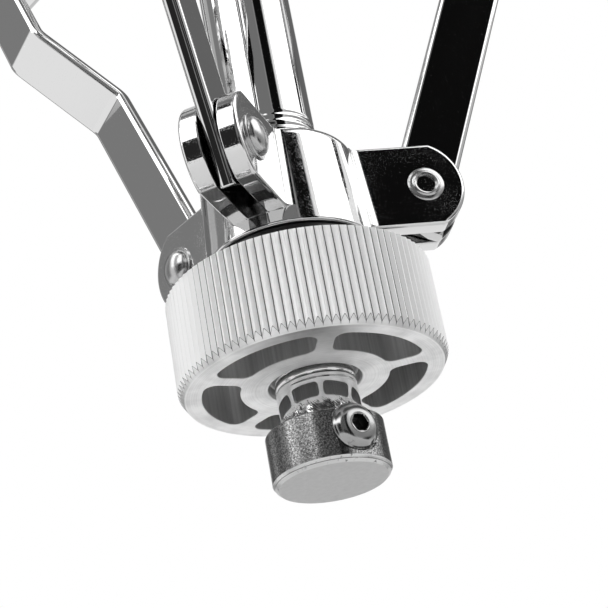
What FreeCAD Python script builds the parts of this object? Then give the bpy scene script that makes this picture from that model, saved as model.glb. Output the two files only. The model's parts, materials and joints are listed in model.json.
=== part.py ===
import FreeCAD, Part
import math
import os
import Sketcher
from FreeCAD import Placement, Rotation, Vector

# Snare drum stand with an offset basket, in millimetres, +Z up.
# The upright stands on the origin, the floor is z = 0 and the basket's post stands beside the upright on +X.

# Driving dimensions: word, value, meaning
SIZES = [
    # Fits
    ("running_gap", 0.08, "radial play of a turning or sliding fit"),
    ("side_gap", 0.3, "play beside a part that swings or slides"),
    ("loose_gap", 1.1, "radial play of a link on its arm rivet"),
    ("cut_overrun", 4.0, "how far a cut runs past the face it opens"),
    # Base tube
    ("base_tube_dia", 25.4, "base tube, outside"),
    ("base_tube_wall", 1.5, "base tube wall"),
    ("base_tube_low", 72.0, "lower end of the base tube above the floor"),
    ("base_tube_high", 288.0, "upper end of the base tube above the floor"),
    ("base_slit_wide", 3.0, "slit that lets the tube's mouth close"),
    ("base_slit_deep", 22.0, "depth of that slit"),
    ("plug_rim_tall", 4.0, "rim of the base plug"),
    ("plug_spigot_tall", 12.0, "base plug inside the tube"),
    # Leg collars
    ("collar_wall", 5.5, "ring wall of both leg collars"),
    ("collar_tall", 21.0, "ring height of both leg collars"),
    ("collar_lug_tall", 16.0, "height of the collars' lugs"),
    ("collar_lug_round", 9.0, "radius of the lugs' outer end"),
    ("collar_pivot_reach", 27.0, "collar pivots from the upright's axis"),
    ("collar_lug_past", 7.0, "lug beyond its pivot"),
    ("leg_pivot_high", 160.0, "leg pivots above the floor"),
    ("leg_tongue_thick", 14.0, "lug between the two strips of a leg"),
    ("brace_ear_thick", 4.2, "one ear of a brace clevis"),
    # Legs, braces and feet
    ("leg_strip_wide", 14.0, "leg strip width"),
    ("leg_strip_thick", 3.0, "leg strip thickness"),
    ("brace_span", 75.0, "brace between its pivots"),
    ("brace_wide", 12.0, "brace width"),
    ("brace_thick", 3.0, "brace thickness"),
    ("leg_pin_dia", 6.0, "rivets of legs and braces"),
    ("leg_head_dia", 10.0, "their heads"),
    ("leg_head_tall", 2.2, "height of those heads"),
    ("brace_stub_clear", 1.0, "gap between a brace and its rivet's stubs"),
    ("foot_long", 40.0, "rubber foot, along the leg"),
    ("foot_wide", 27.0, "rubber foot, across the leg"),
    ("foot_tall", 24.0, "rubber foot height"),
    ("foot_round", 4.0, "rounding of the foot's top edge"),
    ("foot_pin_high", 12.0, "end of the leg's centre line above the floor"),
    # Height tube and its clamp
    ("upper_tube_dia", 19.05, "upper tube, outside"),
    ("upper_tube_wall", 1.5, "upper tube wall"),
    ("upper_tube_low", 128.0, "lower end of the upper tube at its lowest setting"),
    ("bush_tall", 30.0, "nylon bush height"),
    ("bush_lip_tall", 2.0, "bush lip on the tube's mouth"),
    ("clamp_wall", 5.5, "height clamp wall round the base tube"),
    ("clamp_grip_tall", 26.0, "clamp length on the base tube"),
    ("clamp_lip_tall", 10.0, "clamp above the base tube"),
    ("clamp_lug_long", 17.0, "clamp lugs beyond the ring"),
    ("clamp_lug_thick", 9.0, "one clamp lug"),
    ("clamp_lug_tall", 22.0, "clamp lug height"),
    ("clamp_slit_wide", 3.0, "slit between the lugs"),
    ("memory_wall", 6.0, "memory lock wall"),
    ("memory_tall", 18.0, "memory lock height"),
    ("memory_boss_dia", 12.0, "boss for the memory lock screw"),
    ("memory_boss_long", 5.0, "that boss beyond the ring"),
    ("key_screw_dia", 6.0, "memory lock screw shank"),
    ("key_head_wide", 6.4, "its square head"),
    ("key_head_tall", 9.0, "height of the square head"),
    # Wing screws
    ("wing_shank_dia", 6.0, "wing screw shank"),
    ("wing_hub_dia", 12.0, "wing screw hub"),
    ("wing_hub_tall", 14.0, "height of that hub"),
    ("wing_span", 28.0, "across the wings"),
    ("wing_wide", 10.0, "wing height along the screw"),
    ("wing_thick", 4.2, "wing thickness"),
    ("wing_boss_dia", 14.0, "boss that a wing screw runs in"),
    ("wing_boss_long", 4.0, "that boss beyond its ring"),
    ("wing_seat_gap", 1.2, "wing hub off its seat"),
    # Tilter
    ("post_reach", 90.0, "post axis from the upright's axis"),
    ("eye_drop", 33.0, "eye and tilt axis below the arm hinges"),
    ("tilt_disc_dia", 36.0, "tilter discs"),
    ("tilt_disc_thick", 11.0, "thickness of one disc"),
    ("tilt_washer_thick", 1.0, "friction washer between the discs"),
    ("tilt_socket_wall", 5.0, "tilter base wall round the upper tube"),
    ("tilt_socket_tall", 30.0, "tilter base on the upper tube"),
    ("tilt_socket_roof", 5.0, "metal above the tube's end"),
    ("tilt_socket_drop", 0.6, "gap between the socket's top and the arm's disc"),
    ("tilt_bolt_dia", 8.0, "tilter bolt"),
    ("tilt_bolt_head_dia", 15.0, "its head"),
    ("tilt_bolt_head_tall", 5.0, "height of that head"),
    ("tilt_nut_tall", 16.0, "tilt wing nut height"),
    ("tilt_wing_span", 36.0, "across the tilt nut's wings"),
    ("tilt_arm_tall", 18.0, "tilter arm height"),
    ("eye_wall", 7.4, "wall of the post eye"),
    ("eye_tall", 28.0, "height of the post eye"),
    # Centre post, rod and stop cap
    ("cap_end_high", 330.0, "stop cap's end above the floor at the lowest setting"),
    ("post_dia", 19.05, "post tube, outside"),
    ("post_low", 46.0, "lower end of the post tube above the cap's end"),
    ("post_past", 8.0, "post tube beyond the arm hinges"),
    ("post_plug_tall", 2.5, "plug on top of the post"),
    ("post_plug_deep", 12.0, "that plug inside the tube"),
    ("neck_low", 70.6, "start of the rolled neck"),
    ("neck_ring_pitch", 1.5, "rolled ring spacing"),
    ("neck_depth", 0.4, "neck below the tube's surface"),
    ("neck_ring_depth", 0.35, "groove between rolled rings"),
    ("rod_dia", 15.9, "rod, outside"),
    ("rod_low", 2.2, "rod end above the cap's end"),
    ("rod_high", 92.0, "rod's upper end inside the tube"),
    ("thread_low", 18.4, "thread run-out above the cap's end"),
    ("thread_pitch", 1.5, "thread pitch"),
    ("thread_depth", 0.9, "thread depth"),
    ("cap_dia", 23.0, "stop cap"),
    ("cap_tall", 10.55, "stop cap height"),
    ("cap_bevel_wide", 1.0, "bevel at the cap's end, across"),
    ("cap_bevel_tall", 1.2, "bevel at the cap's end, along"),
    ("cap_screw_high", 6.3, "cap screw above the cap's end"),
    ("cap_screw_dia", 5.0, "cap screw shank"),
    ("cap_screw_head_dia", 8.6, "button head"),
    ("cap_screw_head_tall", 2.6, "button head height"),
    ("cap_screw_key", 3.2, "hexagon socket across flats"),
    ("cap_screw_key_deep", 1.7, "socket depth"),
    ("cap_spot_deep", 0.9, "flat spot under the head"),
    ("cap_screw_bite", 2.0, "screw point inside the rod"),
    # Hand nut
    ("nut_low", 20.5, "nut's lower face above the cap's end"),
    ("nut_dia", 53.2, "over the knurl"),
    ("nut_tall", 19.5, "knurled body height"),
    ("nut_bevel_wide", 1.1, "lower bevel, across"),
    ("nut_bevel_tall", 1.5, "lower bevel, along"),
    ("knurl_depth", 0.75, "knurl groove depth"),
    ("nut_boss_dia", 28.0, "boss under the washer"),
    ("nut_thread_long", 8.0, "threaded length"),
    ("nut_sink_dia", 20.4, "countersink at the lower face"),
    ("nut_sink_deep", 2.2, "countersink depth"),
    ("window_inner_dia", 29.4, "inner edge of the nut's windows"),
    ("window_outer_dia", 44.2, "outer edge of the nut's windows"),
    ("spoke_wide", 3.3, "spoke between two windows"),
    ("window_round", 2.2, "window corner radius"),
    # Lower hub and washer
    ("washer_dia", 33.0, "black washer under the hub"),
    ("washer_thick", 2.8, "its thickness"),
    ("hub_low", 47.3, "hub's lower face above the cap's end"),
    ("hub_tall", 22.9, "hub height"),
    ("hub_low_dia", 34.6, "hub diameter at the lower face"),
    ("hub_high_dia", 31.8, "hub diameter at the upper face"),
    ("hub_round", 2.6, "rounding of the hub's upper edge"),
    ("lug_low", 50.4, "lug's lower edge above the cap's end"),
    ("lug_tall", 18.8, "lug height"),
    ("lug_half_wide", 6.0, "half the width over a lug's two ears"),
    ("lug_round", 10.5, "radius of a lug's outer end"),
    ("pivot_reach", 29.0, "hub pivots from the post's axis"),
    ("pivot_high", 59.7, "link pivots above the cap's end"),
    ("lug_past", 8.2, "lug beyond its pivot"),
    ("hub_rivet_dia", 5.0, "hub rivet shank"),
    ("hub_rivet_head_dia", 7.6, "hub rivet head"),
    ("hub_rivet_head_tall", 1.9, "height of that head"),
    ("hub_rivet_lip_tall", 0.7, "clinched lip on the other side"),
    ("hub_rivet_hollow_dia", 4.2, "hollow in the clinched end"),
    ("hub_rivet_hollow_deep", 1.6, "depth of that hollow"),
    # Links
    ("link_wide", 12.8, "link strip width"),
    ("link_thick", 3.3, "link strip thickness"),
    ("link_lean", 23.4, "link's lean from upright, degrees"),
    ("link_span", 130.0, "link between its pivots"),
    ("link_tail", 8.0, "link beyond its lower pivot"),
    ("link_head", 9.0, "link beyond its upper pivot"),
    ("joggle_start", 60.4, "first bend from the lower pivot"),
    ("joggle_end", 80.6, "second bend from the lower pivot"),
    ("joggle_step", 16.2, "sideways step between the bends"),
    # Upper hub and arms
    ("top_hub_dia", 33.0, "upper hub diameter"),
    ("top_hub_tall", 20.0, "upper hub height"),
    ("top_ear_thick", 4.0, "one ear of the upper hub"),
    ("top_lug_tall", 19.0, "upper lug height"),
    ("top_pin_dia", 5.0, "arm hinge pin"),
    ("top_pin_head_dia", 8.0, "its head"),
    ("top_pin_head_tall", 1.8, "height of that head"),
    ("set_screw_dia", 5.0, "upper hub set screw"),
    ("set_screw_key", 2.5, "its hexagon socket across flats"),
    ("set_screw_key_deep", 3.0, "depth of that socket"),
    ("tongue_thick", 8.0, "arm knuckle tongue"),
    ("tongue_round", 8.0, "radius round the hinge"),
    ("knuckle_shoulder", 13.0, "knuckle shoulder from the hinge"),
    ("knuckle_shoulder_long", 5.0, "shoulder length"),
    ("knuckle_plug_long", 22.0, "knuckle inside the arm tube"),
    ("arm_tube_dia", 15.9, "arm tube, outside"),
    ("arm_tube_wall", 1.5, "arm tube wall"),
    ("arm_reach", 205.0, "upturned arm end from the post's axis"),
    ("arm_bend", 30.0, "bend radius of the arm's centre line"),
    ("arm_rise", 32.0, "straight upturned length above the bend"),
    ("grip_wall", 3.6, "rubber grip wall"),
    ("grip_run", 36.0, "grip along the arm before the bend"),
    ("grip_cap", 4.5, "rubber over the arm's tip"),
    ("arm_rivet_dia", 5.8, "link rivet shank"),
    ("arm_rivet_shoulder_dia", 11.0, "spacer shoulder between arm and link"),
    ("arm_rivet_head_dia", 12.4, "link rivet head"),
    ("arm_rivet_head_tall", 2.2, "height of that head"),
    ("arm_rivet_tail_tall", 1.6, "tail head outside the arm tube"),
]

# Counts, directions and shares
SPOKES = 3
WINDOWS = 5
KNURL_TEETH = 100
NECK_RINGS = 4
THREAD_TURNS = 18
HALF_TURN = 180
FULL_TURN = 360
ARM_AZIMUTHS = [0, 120, 240]
LEG_AZIMUTHS = [180, 300, 60]
CAP_SCREW_AZIMUTH = -72.5
WINDOW_AZIMUTH = 15
SET_SCREW_AZIMUTH = 60
KEY_FLANGE_SHARE = 0.25
BUTTON_FLAT_SHARE = 0.85
THREAD_GROOVE_SHARE = 0.9
RING_GROOVE_SHARE = 0.25
RING_CREST_SHARES = (0.5, 0.75)
ALONG = {
    "X": Rotation(Vector(0, 1, 0), 90),
    "Y": Rotation(Vector(1, 0, 0), -90),
    "Z": Rotation(),
    "-X": Rotation(Vector(0, 1, 0), -90),
    "-Y": Rotation(Vector(1, 0, 0), 90),
    "-Z": Rotation(Vector(1, 0, 0), 180),
}

doc = FreeCAD.newDocument("SnareStand")
sheet = doc.addObject("Spreadsheet::Sheet", "Sizes")
nodes = []


class Dim:
    """A size that carries its number and the sheet formula behind it."""

    def __init__(self, value, text):
        self.value = value
        self.text = text

    def __add__(self, other):
        return Dim(self.value + number(other), f"({self.text} + {formula(other)})")

    def __sub__(self, other):
        return Dim(self.value - number(other), f"({self.text} - {formula(other)})")

    def __mul__(self, other):
        return Dim(self.value * number(other), f"({self.text} * {formula(other)})")

    def __truediv__(self, other):
        return Dim(self.value / number(other), f"({self.text} / {formula(other)})")

    def __neg__(self):
        return Dim(-self.value, f"(0 - {self.text})")


class Sheet:
    """The driving dimensions as attributes."""

    def __init__(self):
        for row, (word, value, meaning) in enumerate(SIZES, start=1):
            sheet.set(f"A{row}", meaning)
            sheet.set(f"B{row}", str(value))
            sheet.setAlias(f"B{row}", word)
            setattr(self, word, Dim(float(value), f"Sizes.{word}"))


def number(size):
    return size.value if isinstance(size, Dim) else size


def formula(size):
    return size.text if isinstance(size, Dim) else str(size)


def root(size):
    return Dim(math.sqrt(size.value), f"sqrt({size.text})")


def sine(angle):
    return Dim(math.sin(math.radians(angle.value)), f"sin({angle.text} * 1 deg)")


def cosine(angle):
    return Dim(math.cos(math.radians(angle.value)), f"cos({angle.text} * 1 deg)")


# Binding and placing


def bind(feature, **sizes):
    for name, size in sizes.items():
        feature.setExpression(name, formula(size))


def seat(feature, place, rotation):
    """Turns a feature and puts its origin on a place given in sizes."""
    feature.Placement = Placement(Vector(*[number(size) for size in place]), rotation)
    for letter, size in zip("xyz", place):
        if isinstance(size, Dim):
            feature.setExpression(f"Placement.Base.{letter}", size.text)


def shift(x, y, z):
    return Placement(Vector(number(x), number(y), number(z)), Rotation())


def about_z(degrees):
    return Placement(Vector(), Rotation(Vector(0, 0, 1), degrees))


def about_y(degrees):
    return Placement(Vector(), Rotation(Vector(0, 1, 0), degrees))


def keep(feature, label):
    """Names a finished piece and puts it on the list of nodes."""
    feature.Label = label
    nodes.append(feature)
    return feature


# Plain solids and booleans


def cylinder(name, radius, height, place=(0, 0, 0), along="Z"):
    solid = doc.addObject("Part::Cylinder", name)
    bind(solid, Radius=radius, Height=height)
    seat(solid, place, ALONG[along])
    return solid


def box(name, size_x, size_y, size_z, corner):
    solid = doc.addObject("Part::Box", name)
    bind(solid, Length=size_x, Width=size_y, Height=size_z)
    seat(solid, corner, Rotation())
    return solid


def dome(name, radius, height, place, along):
    """Cap of a sphere that stands on a round base."""
    ball = (radius * radius + height * height) / (height * 2)
    solid = doc.addObject("Part::Sphere", name)
    bind(solid, Radius=ball)
    solid.setExpression("Angle1", f"asin(({ball.text} - {height.text}) / {ball.text})")
    turn = ALONG[along]
    drop = turn.multVec(Vector(0, 0, 1))
    centre = []
    for axis, size in zip(drop, place):
        step = int(round(axis))
        centre.append((ball - height) * -step + size if step else size)
    seat(solid, centre, turn)
    return solid


def hexagon(name, across, height, place, along):
    solid = doc.addObject("Part::Prism", name)
    solid.Polygon = 6
    bind(solid, Circumradius=across / math.sqrt(3), Height=height)
    seat(solid, place, ALONG[along])
    return solid


def fuse(name, *solids):
    joined = doc.addObject("Part::MultiFuse", name)
    joined.Shapes = list(solids)
    joined.Refine = True
    return joined


def cut(name, solid, *tools):
    tool = tools[0] if len(tools) == 1 else fuse(f"{name}_tools", *tools)
    result = doc.addObject("Part::Cut", name)
    result.Base = solid
    result.Tool = tool
    return result


def group(name, solids):
    compound = doc.addObject("Part::Compound", name)
    compound.Links = list(solids)
    return compound


# Sketched features


def origin_part(body, role):
    return [feature for feature in body.Origin.OriginFeatures if feature.Role == role][0]


def empty_sketch(body, name, role):
    sketch = body.newObject("Sketcher::SketchObject", name)
    sketch.AttachmentSupport = (origin_part(body, role), [""])
    sketch.MapMode = "FlatFace"
    return sketch


def pin_down(sketch, edge, point, place):
    """Ties one point of a sketch to its two sizes."""
    for kind, axis, size in (("DistanceX", -2, place[0]), ("DistanceY", -1, place[1])):
        if isinstance(size, Dim):
            index = sketch.addConstraint(Sketcher.Constraint(kind, -1, 1, edge, point, size.value))
            sketch.setExpression(f"Constraints[{index}]", size.text)
        else:
            sketch.addConstraint(Sketcher.Constraint("PointOnObject", edge, point, axis))


def round_edge(start, end, radius):
    """Arc that bulges to the right of its chord, seen along it."""
    chord = end - start
    left = Vector(-chord.y, chord.x, 0).normalize()
    depth = math.sqrt(radius * radius - chord.Length * chord.Length / 4)
    centre = (start + end) / 2 + left * depth
    first = math.atan2(start.y - centre.y, start.x - centre.x)
    last = math.atan2(end.y - centre.y, end.x - centre.x)
    if last < first:
        last += 2 * math.pi
    return Part.ArcOfCircle(Part.Circle(centre, Vector(0, 0, 1), radius), first, last)


def outline(body, name, role, points):
    """Closed outline, counter-clockwise. A third value rounds the edge that starts at a point."""
    sketch = empty_sketch(body, name, role)
    corners = [Vector(number(point[0]), number(point[1]), 0) for point in points]
    count = len(points)
    for index, point in enumerate(points):
        start = corners[index]
        end = corners[(index + 1) % count]
        if len(point) == 3:
            edge = round_edge(start, end, point[2].value)
        else:
            edge = Part.LineSegment(start, end)
        sketch.addGeometry(edge)
    for index in range(count):
        sketch.addConstraint(Sketcher.Constraint("Coincident", index, 2, (index + 1) % count, 1))
    for index, point in enumerate(points):
        pin_down(sketch, index, 1, point)
        if len(point) == 3:
            bow = sketch.addConstraint(Sketcher.Constraint("Radius", index, point[2].value))
            sketch.setExpression(f"Constraints[{bow}]", point[2].text)
    return sketch


def ring_outline(body, name, role, centre, radius):
    sketch = empty_sketch(body, name, role)
    middle = Vector(number(centre[0]), number(centre[1]), 0)
    sketch.addGeometry(Part.Circle(middle, Vector(0, 0, 1), radius.value))
    pin_down(sketch, 0, 3, centre)
    index = sketch.addConstraint(Sketcher.Constraint("Radius", 0, radius.value))
    sketch.setExpression(f"Constraints[{index}]", radius.text)
    return sketch


def turned(name, points):
    """Body of revolution about Z from an outline of (radius, height) points."""
    body = doc.addObject("PartDesign::Body", name)
    turning = body.newObject("PartDesign::Revolution", f"{name}_turning")
    sketch = outline(body, f"{name}_profile", "XZ_Plane", points)
    turning.Profile = sketch
    turning.ReferenceAxis = (sketch, ["V_Axis"])
    turning.Angle = FULL_TURN
    body.Tip = turning
    return body


def sleeve(name, inner, outer, low, high):
    return turned(name, [(inner, low), (outer, low), (outer, high), (inner, high)])


def slab(name, role, points, thick):
    """Flat plate: an outline padded evenly to both sides of its plane."""
    body = doc.addObject("PartDesign::Body", name)
    pad = body.newObject("PartDesign::Pad", f"{name}_pad")
    pad.Profile = outline(body, f"{name}_outline", role, points)
    pad.SideType = "Symmetric"
    bind(pad, Length=thick)
    body.Tip = pad
    return body


def through(body, name, sketch):
    pocket = body.newObject("PartDesign::Pocket", name)
    pocket.Profile = sketch
    pocket.Type = "ThroughAll"
    pocket.SideType = "Symmetric"
    return pocket


def lug_hub(name, ring, lug, hole, slot):
    """Turned ring with three lugs in a circle.

    ring is the turned outline, lug is (half width, low, high, reach, end radius, root),
    hole is (reach, height, radius) and slot is (root, half width) or None for a solid tongue.
    """
    half_wide, low, high, reach, round_end, root_reach = lug
    body = turned(name, ring)
    half_tall = (high - low) / 2
    straight = reach - round_end + root(round_end * round_end - half_tall * half_tall)
    points = [(root_reach, low), (straight, low, round_end), (straight, high), (root_reach, high)]
    pad = body.newObject("PartDesign::Pad", f"{name}_lug")
    pad.Profile = outline(body, f"{name}_lug_outline", "XZ_Plane", points)
    pad.SideType = "Symmetric"
    bind(pad, Length=half_wide * 2)
    repeated = [pad]
    if slot:
        slot_root, slot_half = slot
        far = reach + s.cut_overrun
        corners = [(slot_root, -slot_half), (far, -slot_half), (far, slot_half), (slot_root, slot_half)]
        slot_sketch = outline(body, f"{name}_slot_outline", "XY_Plane", corners)
        repeated.append(through(body, f"{name}_slot", slot_sketch))
    hole_sketch = ring_outline(body, f"{name}_hole_outline", "XZ_Plane", hole[:2], hole[2])
    repeated.append(through(body, f"{name}_hole", hole_sketch))
    pattern = body.newObject("PartDesign::PolarPattern", f"{name}_spokes")
    pattern.Originals = repeated
    pattern.Axis = (origin_part(body, "Z_Axis"), [""])
    pattern.Angle = FULL_TURN
    pattern.Occurrences = SPOKES
    body.Tip = pattern
    return body


def bar(name, span, wide, thick, holes):
    """Flat strip along X with round ends, pivots on its centre line and a hole at each."""
    half = wide / 2
    plate = box(f"{name}_plate", span, thick, wide, (0, -thick / 2, -half))
    ends = [
        cylinder(f"{name}_end", half, thick, (0, -thick / 2, 0), "Y"),
        cylinder(f"{name}_tip", half, thick, (span, -thick / 2, 0), "Y"),
    ]
    blank = fuse(f"{name}_blank", plate, *ends)
    past = thick / 2 + s.cut_overrun
    drills = []
    for index, (reach, radius) in enumerate(holes):
        drills.append(cylinder(f"{name}_drill_{index}", radius, past * 2, (reach, -past, 0), "Y"))
    return cut(name, blank, *drills)


def rivet(name, radius, grip_low, grip_high, head_radius, head_tall):
    """Rivet along Y with a dome at each end of its grip."""
    shank = cylinder(f"{name}_shank", radius, grip_high - grip_low, (0, grip_low, 0), "Y")
    head = dome(f"{name}_head", head_radius, head_tall, (0, grip_high, 0), "Y")
    tail = dome(f"{name}_tail", head_radius, head_tall, (0, grip_low, 0), "-Y")
    return fuse(name, shank, head, tail)


def wings(name, span, high):
    """Flat wing bar across a screw's hub, with round ends."""
    arm = (span - s.wing_wide) / 2
    side = -s.wing_thick / 2
    plate = box(f"{name}_bar", arm * 2, s.wing_thick, s.wing_wide, (-arm, side, high - s.wing_wide / 2))
    left = cylinder(f"{name}_left", s.wing_wide / 2, s.wing_thick, (-arm, side, high), "Y")
    right = cylinder(f"{name}_right", s.wing_wide / 2, s.wing_thick, (arm, side, high), "Y")
    return [plate, left, right]


def wing_screw(name, reach):
    """Wing screw along Z: the shank reaches down from the hub's seat at the origin."""
    shank = cylinder(f"{name}_shank", s.wing_shank_dia / 2, reach, (0, 0, -reach))
    hub = cylinder(f"{name}_hub", s.wing_hub_dia / 2, s.wing_hub_tall)
    blades = wings(name, s.wing_span, s.wing_hub_tall - s.wing_wide / 2)
    return fuse(name, shank, hub, *blades)


def bent_rod(name, radius, start, past):
    """Round bar along +X that turns up at the arm's bend and ends past the arm's tip."""
    body = doc.addObject("PartDesign::Body", name)
    bend_at = arm_long - s.arm_bend
    tip = s.arm_bend + s.arm_rise + past
    path = empty_sketch(body, f"{name}_path", "XZ_Plane")
    corners = [(start, 0), (bend_at, 0), (arm_long, s.arm_bend), (arm_long, tip)]
    knots = [Vector(number(x), number(z), 0) for x, z in corners]
    path.addGeometry(Part.LineSegment(knots[0], knots[1]))
    path.addGeometry(round_edge(knots[1], knots[2], s.arm_bend.value))
    path.addGeometry(Part.LineSegment(knots[2], knots[3]))
    path.addConstraint(Sketcher.Constraint("Coincident", 0, 2, 1, 1))
    path.addConstraint(Sketcher.Constraint("Coincident", 1, 2, 2, 1))
    for index in range(3):
        pin_down(path, index, 1, corners[index])
    pin_down(path, 2, 2, corners[3])
    bow = path.addConstraint(Sketcher.Constraint("Radius", 1, s.arm_bend.value))
    path.setExpression(f"Constraints[{bow}]", s.arm_bend.text)
    section = ring_outline(body, f"{name}_section", "YZ_Plane", (0, 0), radius)
    section.setExpression("AttachmentOffset.Base.z", start.text)
    pipe = body.newObject("PartDesign::AdditivePipe", f"{name}_pipe")
    pipe.Profile = section
    pipe.Spine = (path, ["Edge1", "Edge2", "Edge3"])
    body.Tip = pipe
    return body


# Values that several pieces share

s = Sheet()
doc.recompute()

base_radius = s.base_tube_dia / 2
base_bore = base_radius - s.base_tube_wall
upper_radius = s.upper_tube_dia / 2
post_radius = s.post_dia / 2
rod_radius = s.rod_dia / 2
arm_radius = s.arm_tube_dia / 2
collar_radius = base_radius + s.collar_wall

# Basket geometry: the link's upper pivot lies on the arm, level with the arm's hinge
arm_pivot_out = s.link_span * sine(s.link_lean)
hinge_high = s.pivot_high + s.link_span * cosine(s.link_lean)
arm_long = s.arm_reach - s.pivot_reach
post_high = hinge_high + s.post_past
tilt_high = s.cap_end_high + hinge_high - s.eye_drop

# Leg geometry: the feet reach as far as the basket, and leg and brace make an isosceles triangle
foot_reach = s.post_reach + s.arm_reach + arm_radius + s.grip_wall
foot_centre = foot_reach - s.foot_long / 2
leg_run = foot_centre - s.collar_pivot_reach
leg_drop = s.leg_pivot_high - s.foot_pin_high
leg_span = root(leg_run * leg_run + leg_drop * leg_drop)
brace_pivot_high = s.leg_pivot_high - s.brace_span * 2 * (leg_drop / leg_span)
leg_slope = math.degrees(math.atan2(leg_drop.value, leg_run.value))

POST_FRAME = shift(s.post_reach, 0, s.cap_end_high)


def build_base():
    tube = sleeve("base_tube_blank", base_bore, base_radius, s.base_tube_low, s.base_tube_high)
    slit_low = s.base_tube_high - s.base_slit_deep
    slit_tall = s.base_slit_deep + s.cut_overrun
    slit_corner = (-base_radius - s.cut_overrun, -s.base_slit_wide / 2, slit_low)
    slit = box("base_tube_slit", base_radius + s.cut_overrun, s.base_slit_wide, slit_tall, slit_corner)
    keep(cut("base_tube_cut", tube, slit), "base_tube")

    plug_low = s.base_tube_low - s.plug_rim_tall
    plug_high = s.base_tube_low + s.plug_spigot_tall
    plug = [
        (0, plug_low),
        (base_radius, plug_low),
        (base_radius, s.base_tube_low),
        (base_bore, s.base_tube_low),
        (base_bore, plug_high),
        (0, plug_high),
    ]
    keep(turned("plug_body", plug), "base_plug")


def build_leg_collars():
    half_ring = s.collar_tall / 2
    half_lug = s.collar_lug_tall / 2
    reach = s.collar_pivot_reach + s.collar_lug_past
    hole_radius = s.leg_pin_dia / 2

    low = brace_pivot_high - half_ring
    high = brace_pivot_high + half_ring
    ring = [(base_radius, low), (collar_radius, low), (collar_radius, high), (base_radius, high)]
    slot_half = s.brace_thick / 2 + s.side_gap
    half_wide = slot_half + s.brace_ear_thick
    lug_low = brace_pivot_high - half_lug
    lug_high = brace_pivot_high + half_lug
    lug = (half_wide, lug_low, lug_high, reach, s.collar_lug_round, base_radius + s.collar_wall / 2)
    slot_root = s.collar_pivot_reach - s.brace_wide / 2 - s.side_gap
    hole = (s.collar_pivot_reach, brace_pivot_high, hole_radius)
    brace_collar = lug_hub("brace_collar_body", ring, lug, hole, (slot_root, slot_half))
    brace_collar.Placement = about_z(HALF_TURN)
    keep(brace_collar, "brace_collar")

    low = s.leg_pivot_high - half_ring
    high = s.leg_pivot_high + half_ring
    bore = base_radius + s.running_gap
    ring = [(bore, low), (collar_radius, low), (collar_radius, high), (bore, high)]
    lug_low = s.leg_pivot_high - half_lug
    lug_high = s.leg_pivot_high + half_lug
    lug_root = base_radius + s.collar_wall / 2
    lug = (s.leg_tongue_thick / 2, lug_low, lug_high, reach, s.collar_lug_round, lug_root)
    hole = (s.collar_pivot_reach, s.leg_pivot_high, hole_radius)
    blank = lug_hub("leg_collar_body", ring, lug, hole, None)
    blank.Placement = about_z(HALF_TURN)
    boss_from = base_radius + s.collar_wall / 2
    boss_long = s.collar_wall / 2 + s.wing_boss_long
    boss = cylinder("leg_collar_boss", s.wing_boss_dia / 2, boss_long, (boss_from, 0, s.leg_pivot_high), "X")
    drill_radius = s.wing_shank_dia / 2 + s.running_gap
    drill_long = s.collar_wall + s.wing_boss_long + s.cut_overrun
    drill_from = (base_radius - s.running_gap, 0, s.leg_pivot_high)
    drill = cylinder("leg_collar_drill", drill_radius, drill_long, drill_from, "X")
    keep(cut("leg_collar_cut", fuse("leg_collar_blank", blank, boss), drill), "leg_collar")

    screw_seat = collar_radius + s.wing_boss_long + s.wing_seat_gap
    screw = wing_screw("leg_screw", screw_seat - base_radius - s.side_gap)
    seat(screw, (screw_seat, 0, s.leg_pivot_high), ALONG["X"])
    keep(screw, "leg_collar_wing_screw")

    pin = s.leg_pin_dia / 2 - s.running_gap
    head = s.leg_head_dia / 2
    leg_grip = s.leg_tongue_thick / 2 + s.leg_strip_thick + s.side_gap * 2
    rivet_trio("leg_collar_rivets", pin, leg_grip, head, s.leg_pivot_high)
    rivet_trio("brace_collar_rivets", pin, half_wide, head, brace_pivot_high)


def rivet_trio(label, pin, half_grip, head, high):
    copies = []
    for index, azimuth in enumerate(LEG_AZIMUTHS):
        copy = rivet(f"{label}_{index}", pin, -half_grip, half_grip, head, s.leg_head_tall)
        copy.Placement = about_z(azimuth).multiply(shift(s.collar_pivot_reach, 0, high))
        copies.append(copy)
    keep(group(f"{label}_group", copies), label)


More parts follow.
